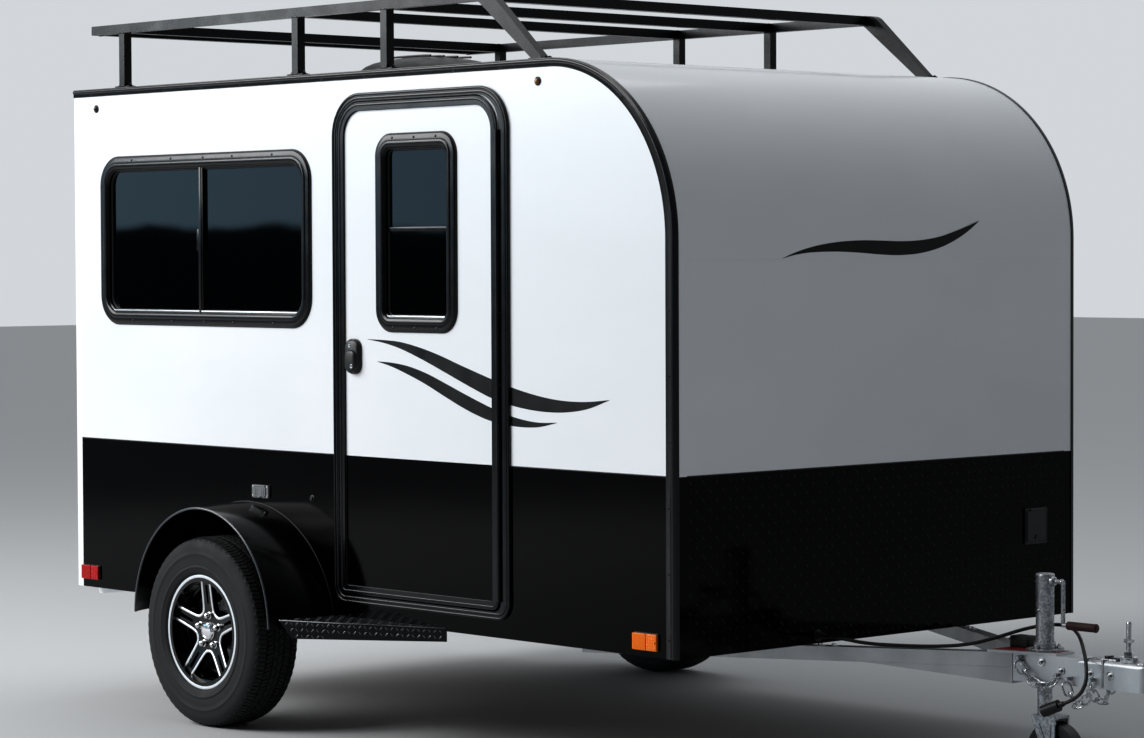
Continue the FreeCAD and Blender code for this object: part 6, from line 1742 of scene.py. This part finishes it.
@dataclass
class NoseJack:
    """The jack's mount, cap, crank box, pins and wheel details."""

    station: float = 4037.0
    radius: float = 29.5
    top: float = 673.0
    deck: float = 428.0
    crank: float = 653.0
    grip: float = 515.0
    fork_side: float = 38.4
    wheel: float = 4082.0
    wheel_radius: float = 100.0

    def tube(self) -> None:
        """The flange on the coupler, its bolts, the cap, the crank's box and the grease nipple."""
        post = at(self.station, 0, 0)
        foot = post + Z * self.deck
        mount = Mould("jack_mount")
        mount.lathe(foot, Z, [(0.4, 62), (6, 62), (7.4, 60), (7.6, 30.2), (0.4, 30.2)], 6, closed=True)
        mount.lathe(foot, Z, [(6.5, 36.5), (26, 35.5), (28, 33.5), (28.2, 30), (6.5, 30)], 32, closed=True)
        mount.lathe(post + Z * self.top, Z, [(-9, 31.4), (-0.5, 31.4), (2.4, 29.5), (4.6, 22), (5.4, 6)], 32)
        mount.lathe(at(self.station + self.radius - 2, 0, self.crank), X,
                    [(0, 15.5), (11, 15.5), (14, 13), (15, 8.2)], 24)
        mount.lathe(post + Z * 312, Z, [(0, 31.2), (7, 31.2), (8.5, 29.8), (-1, 29.8)], 32, closed=True)
        mount.piece(ZINC, "zinc_steel", sharp=40)
        small = Mould("jack_bolts")
        for turn in (30, 150, 270):
            angle = radians(turn)
            small.bolt(foot + at(46 * cos(angle), 46 * sin(angle), 7.5), Z, 15, 9, 5)
        small.bolt(at(self.station - self.radius, 0, 648), -X, 9, 7, 3)
        small.lathe(at(self.station, -self.radius + 1, 560), -Y, [(0, 4), (4, 4), (5, 2.6), (9, 3), (10, 1.6)], 10)
        small.lathe(at(4111, 0, self.crank), X, [(-9, 9.4), (-5, 9.8), (-2, 9.4), (-1.6, 7)], 16)
        small.piece(BRIGHT_ZINC, "zinc_steel")
        grip = Mould("jack_grip_ribs")
        for rib in range(11):
            grip.lathe(at(4137 + rib * 9.6, 0, self.grip), X, [(-2.6, 12.6), (-1.4, 14), (1.4, 14), (2.6, 12.6)], 24)
        grip.lathe(at(4240, 0, self.grip), X, [(-2, 13), (2, 14.6), (6, 14.2), (8, 11), (8.6, 4)], 24)
        grip.piece(GRIP, "grip_rubber")

    def leg(self) -> None:
        """The fork's king pin, axle bolts and pressed ribs."""
        fork = Mould("jack_fork_pins")
        for sign in (-1, 1):
            fork.bolt(at(self.wheel, sign * 38, self.wheel_radius), Y * sign, 19, 11, 7 if sign < 0 else 0)
        fork.lathe(at(self.station, 0, 213.7), -Z, [(0, 21), (3, 21), (4, 14), (10, 13), (11, 9)], 6)
        fork.piece(BRIGHT_ZINC, "zinc_steel", Ride.JACK_FORK)
        seam = Mould("jack_fork_ribs")
        for sign in (-1, 1):
            for upper, lower in ((4044, 4074), (4090, 4088)):
                seam.tube([at(upper, sign * self.fork_side, 196), at(lower, sign * self.fork_side, 126)], 3.2, 8)
        seam.piece(ZINC, "zinc_steel", Ride.JACK_FORK, sharp=60)

    def roller(self) -> None:
        """Ribs and rings on both sides of the jack's wheel."""
        roller = Mould("jack_wheel_ribs")
        centre = at(self.wheel, 0, self.wheel_radius)
        for sign in (-1, 1):
            out = Y * sign
            for turn in circle(8):
                reach = at(cos(turn), 0, sin(turn))
                face = Face(centre + out * 11, reach, reach.cross(out), out)
                roller.slab(face, (22, -2.5, 0), (67, 2.5, 9), 1)
            roller.lathe(centre, out, [(23.6, 66), (24.8, 67.5), (25, 72), (24.6, 86), (25, 90), (24.6, 94),
                                       (23.6, 97)], 56)
            roller.lathe(centre, out, [(20, 12), (24.6, 12), (25.6, 13), (25.6, 19), (24.4, 21), (20, 21)], 32,
                         closed=True)
        roller.piece(PLASTIC, "black_plastic", Ride.JACK_WHEEL, sharp=40)

    def build(self) -> None:
        """Builds the jack's fine pieces."""
        self.tube()
        self.leg()
        self.roller()


@dataclass
class Underside:
    """Axle mounts, conduit, clips and the plates under the rear corners."""

    rail: Pair = (850, 900)
    axle: float = 1266.0
    rail_foot: float = 414.0
    skid: float = -92.0
    conduit: tuple[Triple, ...] = (
        (70, 836, 470), (900, 836, 470), (1180, 800, 470), (2100, 800, 470), (3000, 560, 470), (3240, 340, 466))
    clips: tuple[int, ...] = tuple(range(260, 2661, 240))

    def build(self) -> None:
        """Builds what is seen from below."""
        mounts, bolts = Mould("axle_mounts"), Mould("axle_bolts")
        for sign in (-1, 1):
            inner, outer = sorted((sign * self.rail[0], sign * self.rail[1]))
            for shift in (-41, 35):
                mounts.slab(upright(self.axle + shift), (inner - 12, 352, 0), (outer + 12, 421, 6), 1.2)
            flat = level(self.axle, 0, self.rail_foot)
            mounts.slab(flat, (-62, inner - 14, 0), (62, outer + 14, 6), 1.5)
            for shift in (-52, 52):
                for across in (inner + 8, outer - 8):
                    bolts.bolt(flat.point(shift, across), -Z, 15, 9, 6)
        mounts.piece(STEEL, "black_steel")
        bolts.piece(BRIGHT_ZINC, "zinc_steel")
        skids = Mould("rear_corner_skids")
        for face in (RIGHT, LEFT):
            skids.plate(face, [(2, 421), (16, 386), (24, 384), (262, 411), (262, 421)], self.skid, self.skid + 4)
            skids.slab(face, (2, 416, self.skid), (262, 420.5, -30), 1)
        skids.piece(FRAME, "white_frame")
        conduit, clips = Mould("wiring_conduit"), Mould("conduit_clips")
        stations, sides, heights = zip(*self.conduit)
        for sign in (-1, 1):
            conduit.tube([at(station, side * sign, height) for station, side, height in self.conduit], 8, 10)
            for station in self.clips:
                side = sign * float(np.interp(station, stations, sides))
                clips.slab(level(station, side, heights[0]), (-7, -11, -10), (7, 11, 10), 2.5)
        conduit.piece(PLASTIC, "black_plastic", sharp=50)
        clips.piece(BRIGHT_ZINC, "zinc_steel")


@dataclass
class Cable:
    """The plug lead from the front panel over the tongue to its plug."""

    diameter: float = 12.0
    length: float = 1258.0
    route: tuple[Triple, ...] = (
        (3388, -340, 447), (3450, -340, 447), (3535, -296, 431), (3640, -232, 428), (3738, -174, 429),
        (3822, -116, 438), (3886, -52, 462), (3944, 14, 490), (4012, 60, 506), (4092, 58, 507),
        (4160, 18, 489), (4220, -36, 461), (4268, -78, 414), (4288, -102, 356), (4266, -116, 306),
        (4216, -126, 285))

    def build(self) -> None:
        """Draws the lead as one smooth curve in place of the imported cable."""
        data = bpy.data.curves.new("cable_lead", "CURVE")
        data.dimensions = "3D"
        line = data.splines.new("NURBS")
        line.points.add(len(self.route) - 1)
        for knot, point in zip(line.points, self.route):
            knot.co = (*place(Vector(point)), 1)
        line.order_u = 3
        line.use_endpoint_u = True
        line.resolution_u = 12
        data.bevel_depth = self.diameter / 2 / METRE
        data.bevel_resolution = 6
        data.use_fill_caps = True
        data.materials.append(JACKET.material())
        lead = show("cable_lead", data)
        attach(lead, Ride.TRAILER.value)
        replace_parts(lead, "trailer_cable")


class Solids:
    """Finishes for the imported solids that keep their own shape."""

    NODES: dict[str, Finish] = {
        name: finish for finish, names in (
            (WHITE, "wall_right_upper wall_left_upper roof_panel ramp_door door_upper"),
            (BLACK, "wall_right_lower wall_left_lower front_lower_panel door_lower"),
            (DECK, "floor"),
            (TRIM, "corner_trims door_surround door_trim door_hinge door_hinge_leaf window_frames "
             "door_window_frame"),
            (FRAME, "rear_frame"),
            (ZINC, "ramp_locks hub_right hub_left coupler_latch chain_tabs jack_tube jack_leg "
             "jack_fork jack_crank"),
            (ALUMINIUM, "ramp_hinge ramp_hinge_leaf chassis_rails chassis_crossmembers "
             "tongue_beams coupler coupler_plate"),
            (PLASTIC, "door_handle vent_lid front_hatch plate_holder jack_wheel cable_plug cable_gland"),
            (GLASS, "window_glass door_glass"),
            (GREY_PLASTIC, "vent_base power_inlet"),
            (STEEL, "rack_rails rack_crossbars axle_beam torsion_arms fenders entry_step"),
            (TYRE, "tyre_right tyre_left"),
            (RIM, "rim_right rim_left"),
            (AMBER, "front_markers"),
            (RED, "rear_lamps"),
            (GRIP, "jack_grip"),
            (JACKET, "trailer_cable"),
            (BRIGHT_ZINC, "safety_chains"),
        ) for name in names.split()}

    def dress(self, nodes: dict[str, bpy.types.Object]) -> None:
        """Gives each solid its finish.

        Args:
            nodes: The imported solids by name.
        """
        for name, solid in nodes.items():
            finish = self.NODES[name].material()
            solid.data.materials.clear()
            solid.data.materials.append(finish)
            solid.data.shade_smooth()
            solid.data.set_sharp_from_angle(angle=radians(SOLID_SHARP))


def main() -> None:
    """Builds the studio, the cable and every assembly in order."""
    logging.basicConfig(level=logging.INFO, format="%(message)s")
    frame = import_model()
    studio = Studio()
    studio.camera()
    Cable().build()
    Solids().dress(frame["nodes"])
    for word, side, ride in (("right", -1, Ride.WHEEL_RIGHT), ("left", 1, Ride.WHEEL_LEFT)):
        RoadWheel(word, side, ride).build()
    SafetyChains().build(frame["nodes"]["safety_chains"])
    ShellTrim().build()
    Glazing("side_window", "window_frames", (RIGHT, LEFT), Ride.TRAILER, (185, 1450), (1491, 2086), 108,
            (398, 652, 855, 1035, 1276), bar=825).build()
    EntryDoor().build()
    for assembly in (RoofRack(), RoofVent(), LoadingRamp(), Lamps(), SideFittings(), FendersAndStep(), Tongue(),
                     NoseJack(), Underside()):
        assembly.build()
    studio.floor()
    studio.lights()


if __name__ == "__main__":
    main()
